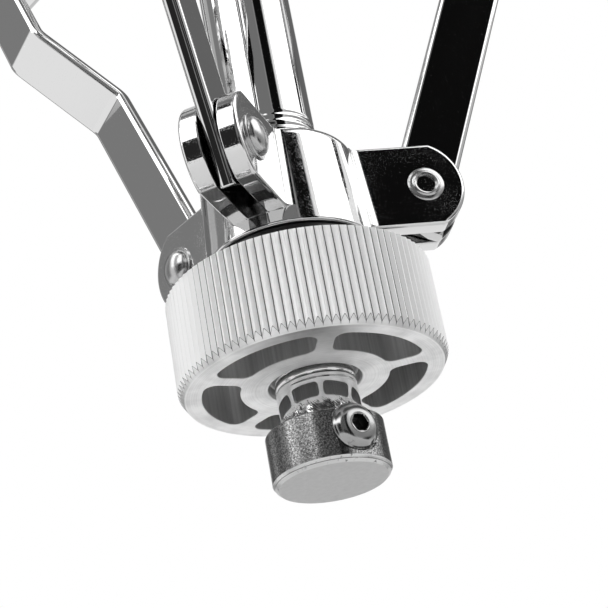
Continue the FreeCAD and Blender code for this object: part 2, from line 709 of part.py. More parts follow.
def build_leg(index, azimuth):
    turn = about_z(azimuth)
    hole = s.leg_pin_dia / 2
    lane = s.leg_tongue_thick / 2 + s.side_gap + s.leg_strip_thick / 2
    hang = turn.multiply(shift(s.collar_pivot_reach, 0, s.leg_pivot_high)).multiply(about_y(leg_slope))
    strips = []
    for side, offset in (("left", lane), ("right", -lane)):
        name = f"leg_{index}_{side}"
        holes = [(0, hole), (s.brace_span, hole)]
        strip = bar(name, leg_span, s.leg_strip_wide, s.leg_strip_thick, holes)
        strip.Placement = hang.multiply(shift(0, offset, 0))
        strips.append(strip)
    keep(group(f"leg_{index}_strips", strips), f"leg_{index}")

    half = s.foot_long / 2 - s.foot_wide / 2
    block = box(f"foot_{index}_block", half * 2, s.foot_wide, s.foot_tall, (-half, -s.foot_wide / 2, 0))
    toe = cylinder(f"foot_{index}_toe", s.foot_wide / 2, s.foot_tall, (half, 0, 0))
    heel = cylinder(f"foot_{index}_heel", s.foot_wide / 2, s.foot_tall, (-half, 0, 0))
    blank = fuse(f"foot_{index}_blank", block, toe, heel)
    doc.recompute()
    rounded = doc.addObject("Part::Fillet", f"foot_{index}_rounded")
    rounded.Base = blank
    rounded.Edges = [(place + 1, s.foot_round.value, s.foot_round.value)
                     for place, edge in enumerate(blank.Shape.Edges)
                     if edge.BoundBox.ZMin > s.foot_tall.value / 2]
    rounded.Placement = turn.multiply(shift(foot_centre, 0, 0))
    keep(cut(f"foot_{index}_socketed", rounded, *strips), f"foot_{index}")

    inner = s.brace_thick / 2 + s.brace_stub_clear
    outer = s.leg_tongue_thick / 2 + s.side_gap + s.leg_strip_thick
    stubs = []
    for side, along, start in (("left", "Y", inner), ("right", "-Y", -inner)):
        name = f"brace_rivet_{index}_{side}"
        place = (0, outer, 0) if along == "Y" else (0, -outer, 0)
        stub = cylinder(f"{name}_stub", hole, outer - inner, (0, start, 0), along)
        head = dome(f"{name}_head", s.leg_head_dia / 2, s.leg_head_tall, place, along)
        stubs.append(fuse(name, stub, head))
    pair = group(f"brace_rivet_{index}_pair", stubs)
    pair.Placement = hang.multiply(shift(s.brace_span, 0, 0))
    keep(pair, f"brace_rivet_{index}")

    bore = s.leg_pin_dia / 2
    ends = [(0, bore), (s.brace_span, bore)]
    brace = bar(f"brace_{index}_strip", s.brace_span, s.brace_wide, s.brace_thick, ends)
    brace_seat = turn.multiply(shift(s.collar_pivot_reach, 0, brace_pivot_high))
    brace.Placement = brace_seat.multiply(about_y(-leg_slope))
    keep(brace, f"brace_{index}")


def build_height():
    clamp_low = s.base_tube_high - s.clamp_grip_tall
    clamp_high = s.base_tube_high + s.clamp_lip_tall
    clamp_radius = base_radius + s.clamp_wall
    lip_bore = upper_radius + s.side_gap
    ring = [
        (base_radius, clamp_low),
        (clamp_radius, clamp_low),
        (clamp_radius, clamp_high),
        (lip_bore, clamp_high),
        (lip_bore, s.base_tube_high + s.bush_lip_tall),
        (base_radius, s.base_tube_high + s.bush_lip_tall),
    ]
    blank = turned("clamp_ring", ring)
    lug_from = base_radius + s.clamp_wall / 2
    lug_far = clamp_radius + s.clamp_lug_long
    lug_half = s.clamp_slit_wide / 2 + s.clamp_lug_thick
    lug_mid = (clamp_low + clamp_high) / 2
    lug_corner = (-lug_far, -lug_half, lug_mid - s.clamp_lug_tall / 2)
    lugs = box("clamp_lugs", lug_far - lug_from, lug_half * 2, s.clamp_lug_tall, lug_corner)
    slit_low = clamp_low - s.cut_overrun
    slit_tall = clamp_high - clamp_low + s.cut_overrun * 2
    slit_long = lug_far + s.cut_overrun - upper_radius
    slit_corner = (-lug_far - s.cut_overrun, -s.clamp_slit_wide / 2, slit_low)
    slit = box("clamp_slit", slit_long, s.clamp_slit_wide, slit_tall, slit_corner)
    bolt_out = lug_far - s.clamp_lug_long / 2
    drill_half = lug_half + s.cut_overrun
    drill_radius = s.wing_shank_dia / 2 + s.running_gap
    drill = cylinder("clamp_drill", drill_radius, drill_half * 2, (-bolt_out, -drill_half, lug_mid), "Y")
    keep(cut("clamp_cut", fuse("clamp_blank", blank, lugs), slit, drill), "height_clamp")

    bolt = wing_screw("height_wing", lug_half * 2 + s.wing_seat_gap)
    seat(bolt, (-bolt_out, -lug_half - s.wing_seat_gap, lug_mid), ALONG["-Y"])
    keep(bolt, "height_wing_bolt")

    bush_bore = upper_radius + s.running_gap
    bush_high = s.base_tube_high + s.bush_lip_tall
    bush = [
        (bush_bore, s.base_tube_high - s.bush_tall),
        (base_bore, s.base_tube_high - s.bush_tall),
        (base_bore, s.base_tube_high),
        (base_radius, s.base_tube_high),
        (base_radius, bush_high),
        (bush_bore, bush_high),
    ]
    keep(turned("bush_body", bush), "height_bush")

    socket_high = tilt_high - s.tilt_disc_dia / 2 - s.tilt_socket_drop
    tube_high = socket_high - s.tilt_socket_roof
    upper_bore = upper_radius - s.upper_tube_wall
    keep(sleeve("upper_tube_body", upper_bore, upper_radius, s.upper_tube_low, tube_high), "upper_tube")

    lock_low = clamp_high + s.side_gap
    lock_high = lock_low + s.memory_tall
    lock_radius = upper_radius + s.memory_wall
    lock_ring = sleeve("memory_ring", upper_radius, lock_radius, lock_low, lock_high)
    lock_mid = (lock_low + lock_high) / 2
    boss_from = upper_radius + s.memory_wall / 2
    boss_long = s.memory_wall / 2 + s.memory_boss_long
    boss = cylinder("memory_boss", s.memory_boss_dia / 2, boss_long, (-boss_from, 0, lock_mid), "-X")
    shank_radius = s.key_screw_dia / 2
    boss_face = lock_radius + s.memory_boss_long
    drill_long = boss_face + s.cut_overrun - upper_radius
    drill = cylinder("memory_drill", shank_radius, drill_long, (-upper_radius, 0, lock_mid), "-X")
    keep(cut("memory_cut", fuse("memory_blank", lock_ring, boss), drill), "memory_lock")

    shank_long = boss_face - upper_radius
    shank = cylinder("key_shank", shank_radius, shank_long, (-upper_radius, 0, lock_mid), "-X")
    flange_tall = s.key_head_tall * KEY_FLANGE_SHARE
    flange = cylinder("key_flange", s.memory_boss_dia / 2, flange_tall, (-boss_face, 0, lock_mid), "-X")
    half_key = s.key_head_wide / 2
    head_corner = (-boss_face - s.key_head_tall, -half_key, lock_mid - half_key)
    head = box("key_head", s.key_head_tall, s.key_head_wide, s.key_head_wide, head_corner)
    keep(fuse("key_screw", shank, flange, head), "memory_lock_screw")


def build_tilter():
    disc = s.tilt_disc_dia / 2
    half_washer = s.tilt_washer_thick / 2
    socket_high = tilt_high - disc - s.tilt_socket_drop
    socket_low = socket_high - s.tilt_socket_tall
    socket_radius = upper_radius + s.tilt_socket_wall
    tube_high = socket_high - s.tilt_socket_roof
    bolt_hole = s.tilt_bolt_dia / 2
    socket = turned("tilter_socket", [
        (upper_radius, socket_low),
        (socket_radius, socket_low),
        (socket_radius, socket_high),
        (0, socket_high),
        (0, tube_high),
        (upper_radius, tube_high),
    ])
    cheek = cylinder("tilter_cheek", disc, s.tilt_disc_thick, (0, half_washer, tilt_high), "Y")
    neck_low = socket_high - s.tilt_socket_roof / 2
    neck_corner = (-s.tilt_arm_tall / 2, half_washer, neck_low)
    neck = box("tilter_neck", s.tilt_arm_tall, s.tilt_disc_thick, tilt_high - neck_low, neck_corner)
    drill_long = s.tilt_disc_thick + s.cut_overrun * 2
    drill_from = (0, half_washer - s.cut_overrun, tilt_high)
    drill = cylinder("tilter_drill", bolt_hole, drill_long, drill_from, "Y")
    keep(cut("tilter_base_cut", fuse("tilter_base_blank", socket, cheek, neck), drill), "tilter_base")

    washer = cylinder("tilt_washer_disc", disc, s.tilt_washer_thick, (0, -half_washer, tilt_high), "Y")
    washer_drill_long = s.tilt_washer_thick + s.cut_overrun * 2
    washer_from = (0, -half_washer - s.cut_overrun, tilt_high)
    washer_drill = cylinder("tilt_washer_drill", bolt_hole, washer_drill_long, washer_from, "Y")
    keep(cut("tilt_washer_cut", washer, washer_drill), "tilt_washer")

    arm_face = half_washer + s.side_gap
    arm_back = arm_face + s.tilt_disc_thick
    eye_radius = post_radius + s.eye_wall
    arm_disc = cylinder("tilter_arm_disc", disc, s.tilt_disc_thick, (0, -arm_face, tilt_high), "-Y")
    rail_corner = (0, -arm_back, tilt_high - s.tilt_arm_tall / 2)
    rail = box("tilter_arm_rail", s.post_reach, s.tilt_disc_thick, s.tilt_arm_tall, rail_corner)
    eye_low = tilt_high - s.eye_tall / 2
    eye = cylinder("tilter_eye", eye_radius, s.eye_tall, (s.post_reach, 0, eye_low))
    boss_from = (s.post_reach, -post_radius - s.eye_wall / 2, tilt_high)
    boss_long = s.eye_wall / 2 + s.wing_boss_long
    boss = cylinder("tilter_eye_boss", s.wing_boss_dia / 2, boss_long, boss_from, "-Y")
    blank = fuse("tilter_arm_blank", arm_disc, rail, eye, boss)
    bore_radius = post_radius + s.running_gap
    bore_tall = s.eye_tall + s.cut_overrun * 2
    bore = cylinder("tilter_eye_bore", bore_radius, bore_tall, (s.post_reach, 0, eye_low - s.cut_overrun))
    screw_radius = s.wing_shank_dia / 2 + s.running_gap
    screw_hole_long = s.eye_wall + s.wing_boss_long + s.cut_overrun
    screw_hole = cylinder("tilter_eye_drill", screw_radius, screw_hole_long,
                          (s.post_reach, -post_radius, tilt_high), "-Y")
    arm_drill_radius = bolt_hole + s.running_gap
    arm_drill_from = (0, -arm_back - s.cut_overrun, tilt_high)
    arm_drill_long = s.tilt_disc_thick + s.cut_overrun * 2
    arm_drill = cylinder("tilter_arm_drill", arm_drill_radius, arm_drill_long, arm_drill_from, "Y")
    keep(cut("tilter_arm_cut", blank, bore, screw_hole, arm_drill), "tilter_arm")

    screw_seat = eye_radius + s.wing_boss_long + s.wing_seat_gap
    screw = wing_screw("eye_screw", screw_seat - post_radius - s.side_gap)
    seat(screw, (s.post_reach, -screw_seat, tilt_high), ALONG["-Y"])
    keep(screw, "eye_wing_screw")

    nut_low = arm_back + s.side_gap
    nut_high = nut_low + s.tilt_nut_tall
    bolt_from = half_washer + s.tilt_disc_thick
    shank = cylinder("tilt_bolt_shank", bolt_hole, bolt_from + nut_high, (0, bolt_from, tilt_high), "-Y")
    head = hexagon("tilt_bolt_head", s.tilt_bolt_head_dia * (math.sqrt(3) / 2), s.tilt_bolt_head_tall,
                   (0, bolt_from, tilt_high), "Y")
    keep(fuse("tilt_bolt_fused", shank, head), "tilt_bolt")

    nut_hub = cylinder("tilt_nut_hub", s.wing_hub_dia / 2, s.tilt_nut_tall)
    blades = wings("tilt_nut", s.tilt_wing_span, s.tilt_nut_tall - s.wing_wide / 2)
    bore_long = s.tilt_nut_tall + s.cut_overrun * 2
    nut_bore = cylinder("tilt_nut_bore", bolt_hole + s.running_gap, bore_long, (0, 0, -s.cut_overrun))
    nut = cut("tilt_nut_cut", fuse("tilt_nut_blank", nut_hub, *blades), nut_bore)
    seat(nut, (0, -nut_low, tilt_high), ALONG["-Y"])
    keep(nut, "tilt_wing_nut")


def in_post_frame(feature, label):
    seat(feature, (s.post_reach, 0, s.cap_end_high), Rotation())
    return keep(feature, label)


def build_post():
    bore = rod_radius
    points = [(bore, s.post_low), (post_radius, s.post_low), (post_radius, s.neck_low)]
    neck_radius = post_radius - s.neck_depth
    for ring in range(NECK_RINGS):
        start = s.neck_low + s.neck_ring_pitch * ring
        points.append((neck_radius - s.neck_ring_depth, start + s.neck_ring_pitch * RING_GROOVE_SHARE))
        for share in RING_CREST_SHARES:
            points.append((neck_radius, start + s.neck_ring_pitch * share))
    neck_high = s.neck_low + s.neck_ring_pitch * (NECK_RINGS + 1)
    points += [(post_radius, neck_high), (post_radius, post_high), (bore, post_high)]
    in_post_frame(turned("post_tube_body", points), "post_tube")

    plug_high = post_high + s.post_plug_tall
    plug_low = post_high - s.post_plug_deep
    plug = [
        (0, plug_low),
        (bore, plug_low),
        (bore, post_high),
        (post_radius, post_high),
        (post_radius, plug_high),
        (0, plug_high),
    ]
    in_post_frame(turned("post_plug_body", plug), "post_plug")

    rod = thread_rod()
    shank_radius = s.cap_screw_dia / 2
    bite = rod_radius - s.cap_screw_bite
    reach = s.cap_dia / 2 + s.cut_overrun - bite
    turn = Rotation(Vector(0, 0, 1), CAP_SCREW_AZIMUTH).multiply(ALONG["X"])
    rod_drill = radial("rod_drill", shank_radius, bite, reach, turn)
    in_post_frame(cut("rod_drilled", rod, rod_drill), "threaded_rod")

    cap_radius = s.cap_dia / 2
    cap_blank = turned("cap_body", [
        (0, 0),
        (cap_radius - s.cap_bevel_wide, 0),
        (cap_radius, s.cap_bevel_tall),
        (cap_radius, s.cap_tall),
        (rod_radius, s.cap_tall),
        (rod_radius, s.rod_low),
        (0, s.rod_low),
    ])
    spot = cap_radius - s.cap_spot_deep
    cap_drill = radial("cap_drill", shank_radius, bite, reach, turn)
    spot_radius = s.cap_screw_head_dia / 2 + s.side_gap
    spot_face = radial("cap_spot", spot_radius, spot, s.cap_spot_deep + s.cut_overrun, turn)
    in_post_frame(cut("cap_cut", cap_blank, cap_drill, spot_face), "stop_cap")

    shank = cylinder("cap_screw_shank", shank_radius, spot - bite, (0, 0, bite))
    head_at = (0, 0, spot)
    head = dome("cap_screw_head", s.cap_screw_head_dia / 2, s.cap_screw_head_tall, head_at, "Z")
    face_low = spot + s.cap_screw_head_tall * BUTTON_FLAT_SHARE
    face = cylinder("cap_screw_face", s.cap_screw_head_dia, s.cut_overrun, (0, 0, face_low))
    key_low = face_low - s.cap_screw_key_deep
    key = hexagon("cap_screw_key", s.cap_screw_key, s.cap_screw_key_deep + s.cut_overrun, (0, 0, key_low), "Z")
    screw = cut("cap_screw_cut", fuse("cap_screw_blank", shank, head), face, key)
    screw.Placement = POST_FRAME.multiply(Placement(Vector(0, 0, s.cap_screw_high.value), turn))
    keep(screw, "cap_screw")


def radial(name, radius, start, length, turn):
    """Round cut from the post's axis outwards at the cap screw's height."""
    tool = cylinder(name, radius, length)
    outward = turn.multVec(Vector(0, 0, start.value))
    tool.Placement = Placement(outward + Vector(0, 0, s.cap_screw_high.value), turn)
    return tool


def thread_rod():
    """Rod with a thread of ring grooves from its run-out up to the tube."""
    body = turned("rod_body", [(0, s.rod_low), (rod_radius, s.rod_low), (rod_radius, s.rod_high), (0, s.rod_high)])
    groove = body.newObject("PartDesign::Groove", "rod_groove")
    root_radius = rod_radius - s.thread_depth
    past = rod_radius + s.thread_depth
    open_half = s.thread_pitch * THREAD_GROOVE_SHARE
    groove_points = [
        (root_radius, s.thread_low),
        (past, s.thread_low - open_half),
        (past, s.thread_low + open_half),
    ]
    sketch = outline(body, "rod_groove_profile", "XZ_Plane", groove_points)
    groove.Profile = sketch
    groove.ReferenceAxis = (sketch, ["V_Axis"])
    groove.Angle = FULL_TURN
    pattern = body.newObject("PartDesign::LinearPattern", "rod_thread")
    pattern.Originals = [groove]
    pattern.Direction = (origin_part(body, "Z_Axis"), [""])
    bind(pattern, Length=s.thread_pitch * (THREAD_TURNS - 1))
    pattern.Occurrences = THREAD_TURNS
    body.Tip = pattern
    return body


def build_nut():
    radius = s.nut_dia / 2
    bore = rod_radius + s.running_gap
    tube_bore = post_radius + s.side_gap
    high = s.nut_low + s.nut_tall
    boss_high = s.hub_low - s.washer_thick - s.side_gap
    thread_high = s.nut_low + s.nut_thread_long
    blank = turned("nut_blank", [
        (s.nut_sink_dia / 2, s.nut_low),
        (radius - s.nut_bevel_wide, s.nut_low),
        (radius, s.nut_low + s.nut_bevel_tall),
        (radius, high),
        (s.nut_boss_dia / 2, high),
        (s.nut_boss_dia / 2, boss_high),
        (tube_bore, boss_high),
        (tube_bore, thread_high),
        (bore, thread_high),
        (bore, s.nut_low + s.nut_sink_deep),
    ])

    # Knurl: a star-shaped prism trims the turned blank, so the bevel ends each tooth in a point
    teeth = []
    for index in range(KNURL_TEETH):
        for share, reach in ((0.0, radius.value), (0.5, radius.value - s.knurl_depth.value)):
            angle = 2 * math.pi * (index + share) / KNURL_TEETH
            teeth.append(Vector(reach * math.cos(angle), reach * math.sin(angle), 0))
    star = doc.addObject("Part::Feature", "nut_knurl")
    prism = Part.Face(Part.makePolygon(teeth + teeth[:1]))
    star.Shape = prism.extrude(Vector(0, 0, boss_high.value - s.nut_low.value + s.cut_overrun.value))
    star.Placement = shift(0, 0, s.nut_low - s.cut_overrun / 2)
    knurled = doc.addObject("Part::Common", "nut_knurled")
    knurled.Base = blank
    knurled.Tool = star

    # Windows: a ring cut into five by the spokes, with rounded corners
    window_low = s.nut_low - s.cut_overrun
    window_tall = s.nut_tall + s.cut_overrun * 2
    outer = cylinder("window_outer", s.window_outer_dia / 2, window_tall, (0, 0, window_low))
    core = cylinder("window_core", s.window_inner_dia / 2, window_tall, (0, 0, window_low))
    spokes = []
    for index in range(WINDOWS):
        name = f"window_spoke_{index}"
        spoke = box(name, s.window_outer_dia, s.spoke_wide, window_tall, (0, -s.spoke_wide / 2, window_low))
        azimuth = WINDOW_AZIMUTH + FULL_TURN / WINDOWS * (index + 0.5)
        turn = about_z(azimuth)
        spoke.Placement = turn.multiply(shift(0, -s.spoke_wide / 2, window_low))
        spokes.append(spoke)
    ring = cut("window_ring", outer, core, *spokes)
    doc.recompute()
    windows = doc.addObject("Part::Fillet", "window_rounded")
    windows.Base = ring
    upright = [index + 1 for index, edge in enumerate(ring.Shape.Edges)
               if edge.BoundBox.ZLength > window_tall.value / 2 and isinstance(edge.Curve, Part.Line)]
    windows.Edges = [(index, s.window_round.value, s.window_round.value) for index in upright]
    in_post_frame(cut("nut_cut", knurled, windows), "hand_nut")


def build_lower_hub():
    bore = post_radius + s.running_gap
    high = s.hub_low + s.hub_tall
    shoulder = s.hub_high_dia / 2
    ring = [
        (bore, s.hub_low),
        (s.hub_low_dia / 2, s.hub_low),
        (shoulder, high - s.hub_round, s.hub_round),
        (shoulder - s.hub_round, high),
        (bore, high),
    ]
    lug_high = s.lug_low + s.lug_tall
    lug_root = (bore + s.hub_high_dia / 2) / 2
    lug = (s.lug_half_wide, s.lug_low, lug_high, s.pivot_reach + s.lug_past, s.lug_round, lug_root)
    slot_half = s.link_thick / 2 + s.side_gap
    slot_root = s.pivot_reach - s.link_wide / 2 - s.link_tail / 2
    hole = (s.pivot_reach, s.pivot_high, s.hub_rivet_dia / 2)
    in_post_frame(lug_hub("lower_hub_body", ring, lug, hole, (slot_root, slot_half)), "lower_hub")

    washer_low = s.hub_low - s.washer_thick
    washer_bore = post_radius + s.side_gap
    washer = sleeve("hub_washer_body", washer_bore, s.washer_dia / 2, washer_low, s.hub_low)
    in_post_frame(washer, "hub_washer")

    pin = s.hub_rivet_dia / 2
    head_radius = s.hub_rivet_head_dia / 2
    grip = s.lug_half_wide
    copies = []
    for index, azimuth in enumerate(ARM_AZIMUTHS):
        name = f"hub_rivet_{index}"
        shank = cylinder(f"{name}_shank", pin, grip * 2, (0, -grip, 0), "Y")
        head = dome(f"{name}_head", head_radius, s.hub_rivet_head_tall, (0, grip, 0), "Y")
        lip = cylinder(f"{name}_lip", head_radius, s.hub_rivet_lip_tall, (0, -grip, 0), "-Y")
        hollow_from = (0, -grip - s.hub_rivet_lip_tall - s.cut_overrun, 0)
        hollow_long = s.hub_rivet_hollow_deep + s.cut_overrun
        hollow = cylinder(f"{name}_hollow", s.hub_rivet_hollow_dia / 2, hollow_long, hollow_from, "Y")
        copy = cut(name, fuse(f"{name}_blank", shank, head, lip), hollow)
        copy.Placement = arm_frame(azimuth, s.pivot_high)
        copies.append(copy)
    keep(group("hub_rivet_group", copies), "hub_rivets")


def arm_frame(azimuth, high):
    """Frame on a hub pivot: X points away from the post and Y round it."""
    return POST_FRAME.multiply(about_z(azimuth)).multiply(shift(s.pivot_reach, 0, high))


def build_link(index, azimuth):
    half = s.link_thick / 2
    slope = (s.joggle_end - s.joggle_start) / s.joggle_step
    face = root(slope * slope + 1)
    lag = (face - slope) * half
    top = s.link_span + s.link_head
    left = s.joggle_step - half
    right = s.joggle_step + half
    strip = slab(f"link_{index}_strip", "YZ_Plane", [
        (-half, -s.link_tail),
        (half, -s.link_tail),
        (half, s.joggle_start - lag),
        (right, s.joggle_end - lag),
        (right, top),
        (left, top),
        (left, s.joggle_end + lag),
        (-half, s.joggle_start + lag),
    ], s.link_wide)
    past = s.joggle_step + s.cut_overrun
    pin_bore = s.hub_rivet_dia / 2 + s.running_gap
    foot_drill = cylinder(f"link_{index}_foot_drill", pin_bore, s.cut_overrun * 2, (0, -s.cut_overrun, 0), "Y")
    head_bore = s.arm_rivet_dia / 2 + s.loose_gap
    head_drill = cylinder(f"link_{index}_head_drill", head_bore, past, (0, s.cut_overrun, s.link_span), "Y")
    link = cut(f"link_{index}_cut", strip, foot_drill, head_drill)
    link.Placement = arm_frame(azimuth, s.pivot_high).multiply(about_y(s.link_lean.value))
    keep(link, f"link_{index}")


def build_upper_hub():
    low = hinge_high - s.top_hub_tall / 2
    high = hinge_high + s.top_hub_tall / 2
    radius = s.top_hub_dia / 2
    ring = [(post_radius, low), (radius, low), (radius, high), (post_radius, high)]
    slot_half = s.tongue_thick / 2 + s.side_gap
    half_wide = slot_half + s.top_ear_thick
    lug_low = hinge_high - s.top_lug_tall / 2
    lug_high = hinge_high + s.top_lug_tall / 2
    lug_root = (post_radius + radius) / 2
    lug = (half_wide, lug_low, lug_high, s.pivot_reach + s.lug_past, s.lug_round, lug_root)
    slot_root = s.pivot_reach - s.tongue_round - s.side_gap
    hole = (s.pivot_reach, hinge_high, s.top_pin_dia / 2)
    blank = lug_hub("upper_hub_body", ring, lug, hole, (slot_root, slot_half))
    screw_turn = Rotation(Vector(0, 0, 1), SET_SCREW_AZIMUTH).multiply(ALONG["X"])
    drill_long = radius - post_radius + s.cut_overrun
    drill = cylinder("upper_hub_drill", s.set_screw_dia / 2, drill_long)
    outward = screw_turn.multVec(Vector(0, 0, post_radius.value))
    drill.Placement = Placement(outward + Vector(0, 0, hinge_high.value), screw_turn)
    in_post_frame(cut("upper_hub_cut", blank, drill), "upper_hub")

    screw_long = radius - post_radius
    shank = cylinder("set_screw_shank", s.set_screw_dia / 2, screw_long)
    key_long = s.set_screw_key_deep + s.cut_overrun
    key_from = (0, 0, screw_long - s.set_screw_key_deep)
    key = hexagon("set_screw_key", s.set_screw_key, key_long, key_from, "Z")
    screw = cut("set_screw_cut", shank, key)
    screw.Placement = POST_FRAME.multiply(Placement(outward + Vector(0, 0, hinge_high.value), screw_turn))
    keep(screw, "upper_hub_screw")

    pin = s.top_pin_dia / 2
    pins = []
    for index, azimuth in enumerate(ARM_AZIMUTHS):
        name = f"upper_hub_pin_{index}"
        copy = rivet(name, pin, -half_wide, half_wide, s.top_pin_head_dia / 2, s.top_pin_head_tall)
        copy.Placement = arm_frame(azimuth, hinge_high)
        pins.append(copy)
    keep(group("upper_hub_pin_group", pins), "upper_hub_pins")


def build_arm(index, azimuth):
    frame = arm_frame(azimuth, hinge_high)
    name = f"arm_{index}"
    tube_bore = arm_radius - s.arm_tube_wall
    tube_start = s.knuckle_shoulder + s.knuckle_shoulder_long
    half_tongue = s.tongue_thick / 2

    eye = cylinder(f"{name}_eye", s.tongue_round, s.tongue_thick, (0, -half_tongue, 0), "Y")
    tongue_long = s.knuckle_shoulder + s.knuckle_shoulder_long / 2
    tongue = box(f"{name}_tongue", tongue_long, s.tongue_thick, arm_radius * 2, (0, -half_tongue, -arm_radius))
    shoulder_at = (s.knuckle_shoulder, 0, 0)
    shoulder = cylinder(f"{name}_shoulder", arm_radius, s.knuckle_shoulder_long, shoulder_at, "X")
    plug = cylinder(f"{name}_plug", tube_bore, s.knuckle_plug_long, (tube_start, 0, 0), "X")
    past = half_tongue + s.cut_overrun
    hinge = cylinder(f"{name}_hinge", s.top_pin_dia / 2 + s.running_gap, past * 2, (0, -past, 0), "Y")
    knuckle = cut(f"{name}_knuckle_cut", fuse(f"{name}_knuckle_blank", eye, tongue, shoulder, plug), hinge)
    knuckle.Placement = frame
    keep(knuckle, f"arm_knuckle_{index}")

    shank_radius = s.arm_rivet_dia / 2
    outside = bent_rod(f"{name}_outside", arm_radius, tube_start, 0)
    inside = bent_rod(f"{name}_inside", tube_bore, tube_start - s.cut_overrun, s.cut_overrun)
    cross_half = arm_radius + s.cut_overrun
    cross = cylinder(f"{name}_cross", shank_radius, cross_half * 2, (arm_pivot_out, -cross_half, 0), "Y")
    tube = cut(f"{name}_tube_cut", outside, inside, cross)
    tube.Placement = frame
    keep(tube, f"arm_tube_{index}")

    grip_start = arm_long - s.arm_bend - s.grip_run
    skin = bent_rod(f"{name}_skin", arm_radius + s.grip_wall, grip_start, s.grip_cap)
    core = bent_rod(f"{name}_core", arm_radius, grip_start - s.cut_overrun, 0)
    grip = cut(f"{name}_grip_cut", skin, core)
    grip.Placement = frame
    keep(grip, f"grip_{index}")

    link_near = s.joggle_step - s.link_thick / 2
    link_far = s.joggle_step + s.link_thick / 2
    shoulder_high = link_near - s.side_gap
    head_at = link_far + s.side_gap
    tail_at = arm_radius + s.arm_rivet_tail_tall
    shank = cylinder(f"{name}_rivet_shank", shank_radius, tail_at + head_at, (0, -tail_at, 0), "Y")
    spacer = cylinder(f"{name}_rivet_spacer", s.arm_rivet_shoulder_dia / 2, shoulder_high, (0, 0, 0), "Y")
    tail = cylinder(f"{name}_rivet_tail", s.arm_rivet_shoulder_dia / 2, tail_at, (0, 0, 0), "-Y")
    tube_room = cylinder(f"{name}_rivet_room", arm_radius, s.arm_rivet_shoulder_dia * 2,
                         (-s.arm_rivet_shoulder_dia, 0, 0), "X")
    seats = cut(f"{name}_rivet_seats", fuse(f"{name}_rivet_discs", spacer, tail), tube_room)
    head = dome(f"{name}_rivet_head", s.arm_rivet_head_dia / 2, s.arm_rivet_head_tall, (0, head_at, 0), "Y")
    arm_rivet = fuse(f"{name}_rivet_fused", shank, seats, head)
    arm_rivet.Placement = frame.multiply(shift(arm_pivot_out, 0, 0))
    keep(arm_rivet, f"link_rivet_{index}")


def check_and_write():
    doc.recompute()
    for feature in doc.Objects:
        if "Invalid" in feature.State or "Error" in feature.State:
            raise RuntimeError(f"{feature.Name} failed: {feature.State}")
    for node in nodes:
        if node.Shape.isNull() or not node.Shape.isValid() or not node.Shape.Solids:
            raise RuntimeError(f"{node.Label} has no valid solid")
    os.makedirs("parts", exist_ok=True)
    for node in nodes:
        node.Shape.exportStep(os.path.join("parts", f"{node.Label}.step"))
    print(f"{len(nodes)} nodes written")


build_base()
build_leg_collars()
for leg_number, leg_azimuth in enumerate(LEG_AZIMUTHS, start=1):
    build_leg(leg_number, leg_azimuth)
build_height()
build_tilter()
build_post()
build_nut()
build_lower_hub()
build_upper_hub()
for arm_number, arm_azimuth in enumerate(ARM_AZIMUTHS, start=1):
    build_link(arm_number, arm_azimuth)
    build_arm(arm_number, arm_azimuth)
check_and_write()
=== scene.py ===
# %% [markdown]
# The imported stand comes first. Its nodes have the real sizes, so every piece below is measured from them
# and then made finer. Each piece is drawn in millimetres round the centre post: its axis is the Z axis,
# and zero is the end of the stop cap, which is the lowest thing in the photograph.

# %% The frame and the centre post
import json
import math

import bmesh
import bpy
from mathutils import Matrix, Vector


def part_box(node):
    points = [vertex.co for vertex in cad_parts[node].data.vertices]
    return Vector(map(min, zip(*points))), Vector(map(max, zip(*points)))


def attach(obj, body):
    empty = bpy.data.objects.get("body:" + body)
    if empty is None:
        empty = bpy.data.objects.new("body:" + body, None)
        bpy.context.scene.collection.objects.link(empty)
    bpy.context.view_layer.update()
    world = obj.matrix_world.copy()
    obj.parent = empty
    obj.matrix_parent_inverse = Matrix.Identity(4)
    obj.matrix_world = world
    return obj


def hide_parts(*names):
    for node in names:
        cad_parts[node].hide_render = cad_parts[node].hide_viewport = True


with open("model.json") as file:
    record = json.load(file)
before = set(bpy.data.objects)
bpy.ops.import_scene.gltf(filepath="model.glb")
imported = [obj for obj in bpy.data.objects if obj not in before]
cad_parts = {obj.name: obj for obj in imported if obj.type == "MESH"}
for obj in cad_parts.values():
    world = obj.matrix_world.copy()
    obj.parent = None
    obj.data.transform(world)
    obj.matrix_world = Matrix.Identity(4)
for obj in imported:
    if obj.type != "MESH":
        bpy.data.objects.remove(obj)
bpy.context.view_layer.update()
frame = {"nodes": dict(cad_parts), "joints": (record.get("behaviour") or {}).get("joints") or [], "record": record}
record = frame["record"]

MM = 0.001
TURN = 2 * math.pi
washer_low, washer_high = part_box("hub_washer")
POST = (washer_low + washer_high) / 2
POST.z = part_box("stop_cap")[0].z
# Directions in which the basket's arms and the legs point, in degrees
ARMS = {1: 0.0, 2: 120.0, 3: 240.0}
LEGS = {1: 180.0, 2: 300.0, 3: 60.0}


def reach(node):
    """Lowest and highest corner of a node, in millimetres from the post's foot."""
    return [(corner - POST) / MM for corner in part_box(node)]


def pivot(joint):
    """Where a joint turns, in millimetres from the post's foot."""
    place = next(entry["pos_m"] for entry in frame["joints"] if entry["name"] == joint)
    return (Vector(place) - POST) / MM


print("post foot", [round(value / MM, 2) for value in POST])

# %% [markdown]
# A node material is a small graph. One function adds any node, sets it and wires it, so each finish
# below reads as a list of what is in it. Colours are written as the screen shows them and turned into
# the linear numbers that a renderer adds up. Every noise is sized in real millimetres.

# %% Nodes and colours
# Sockets of a colour mix, which go by number: its two colours and its result
FIRST, SECOND, MIXED = 6, 7, 2


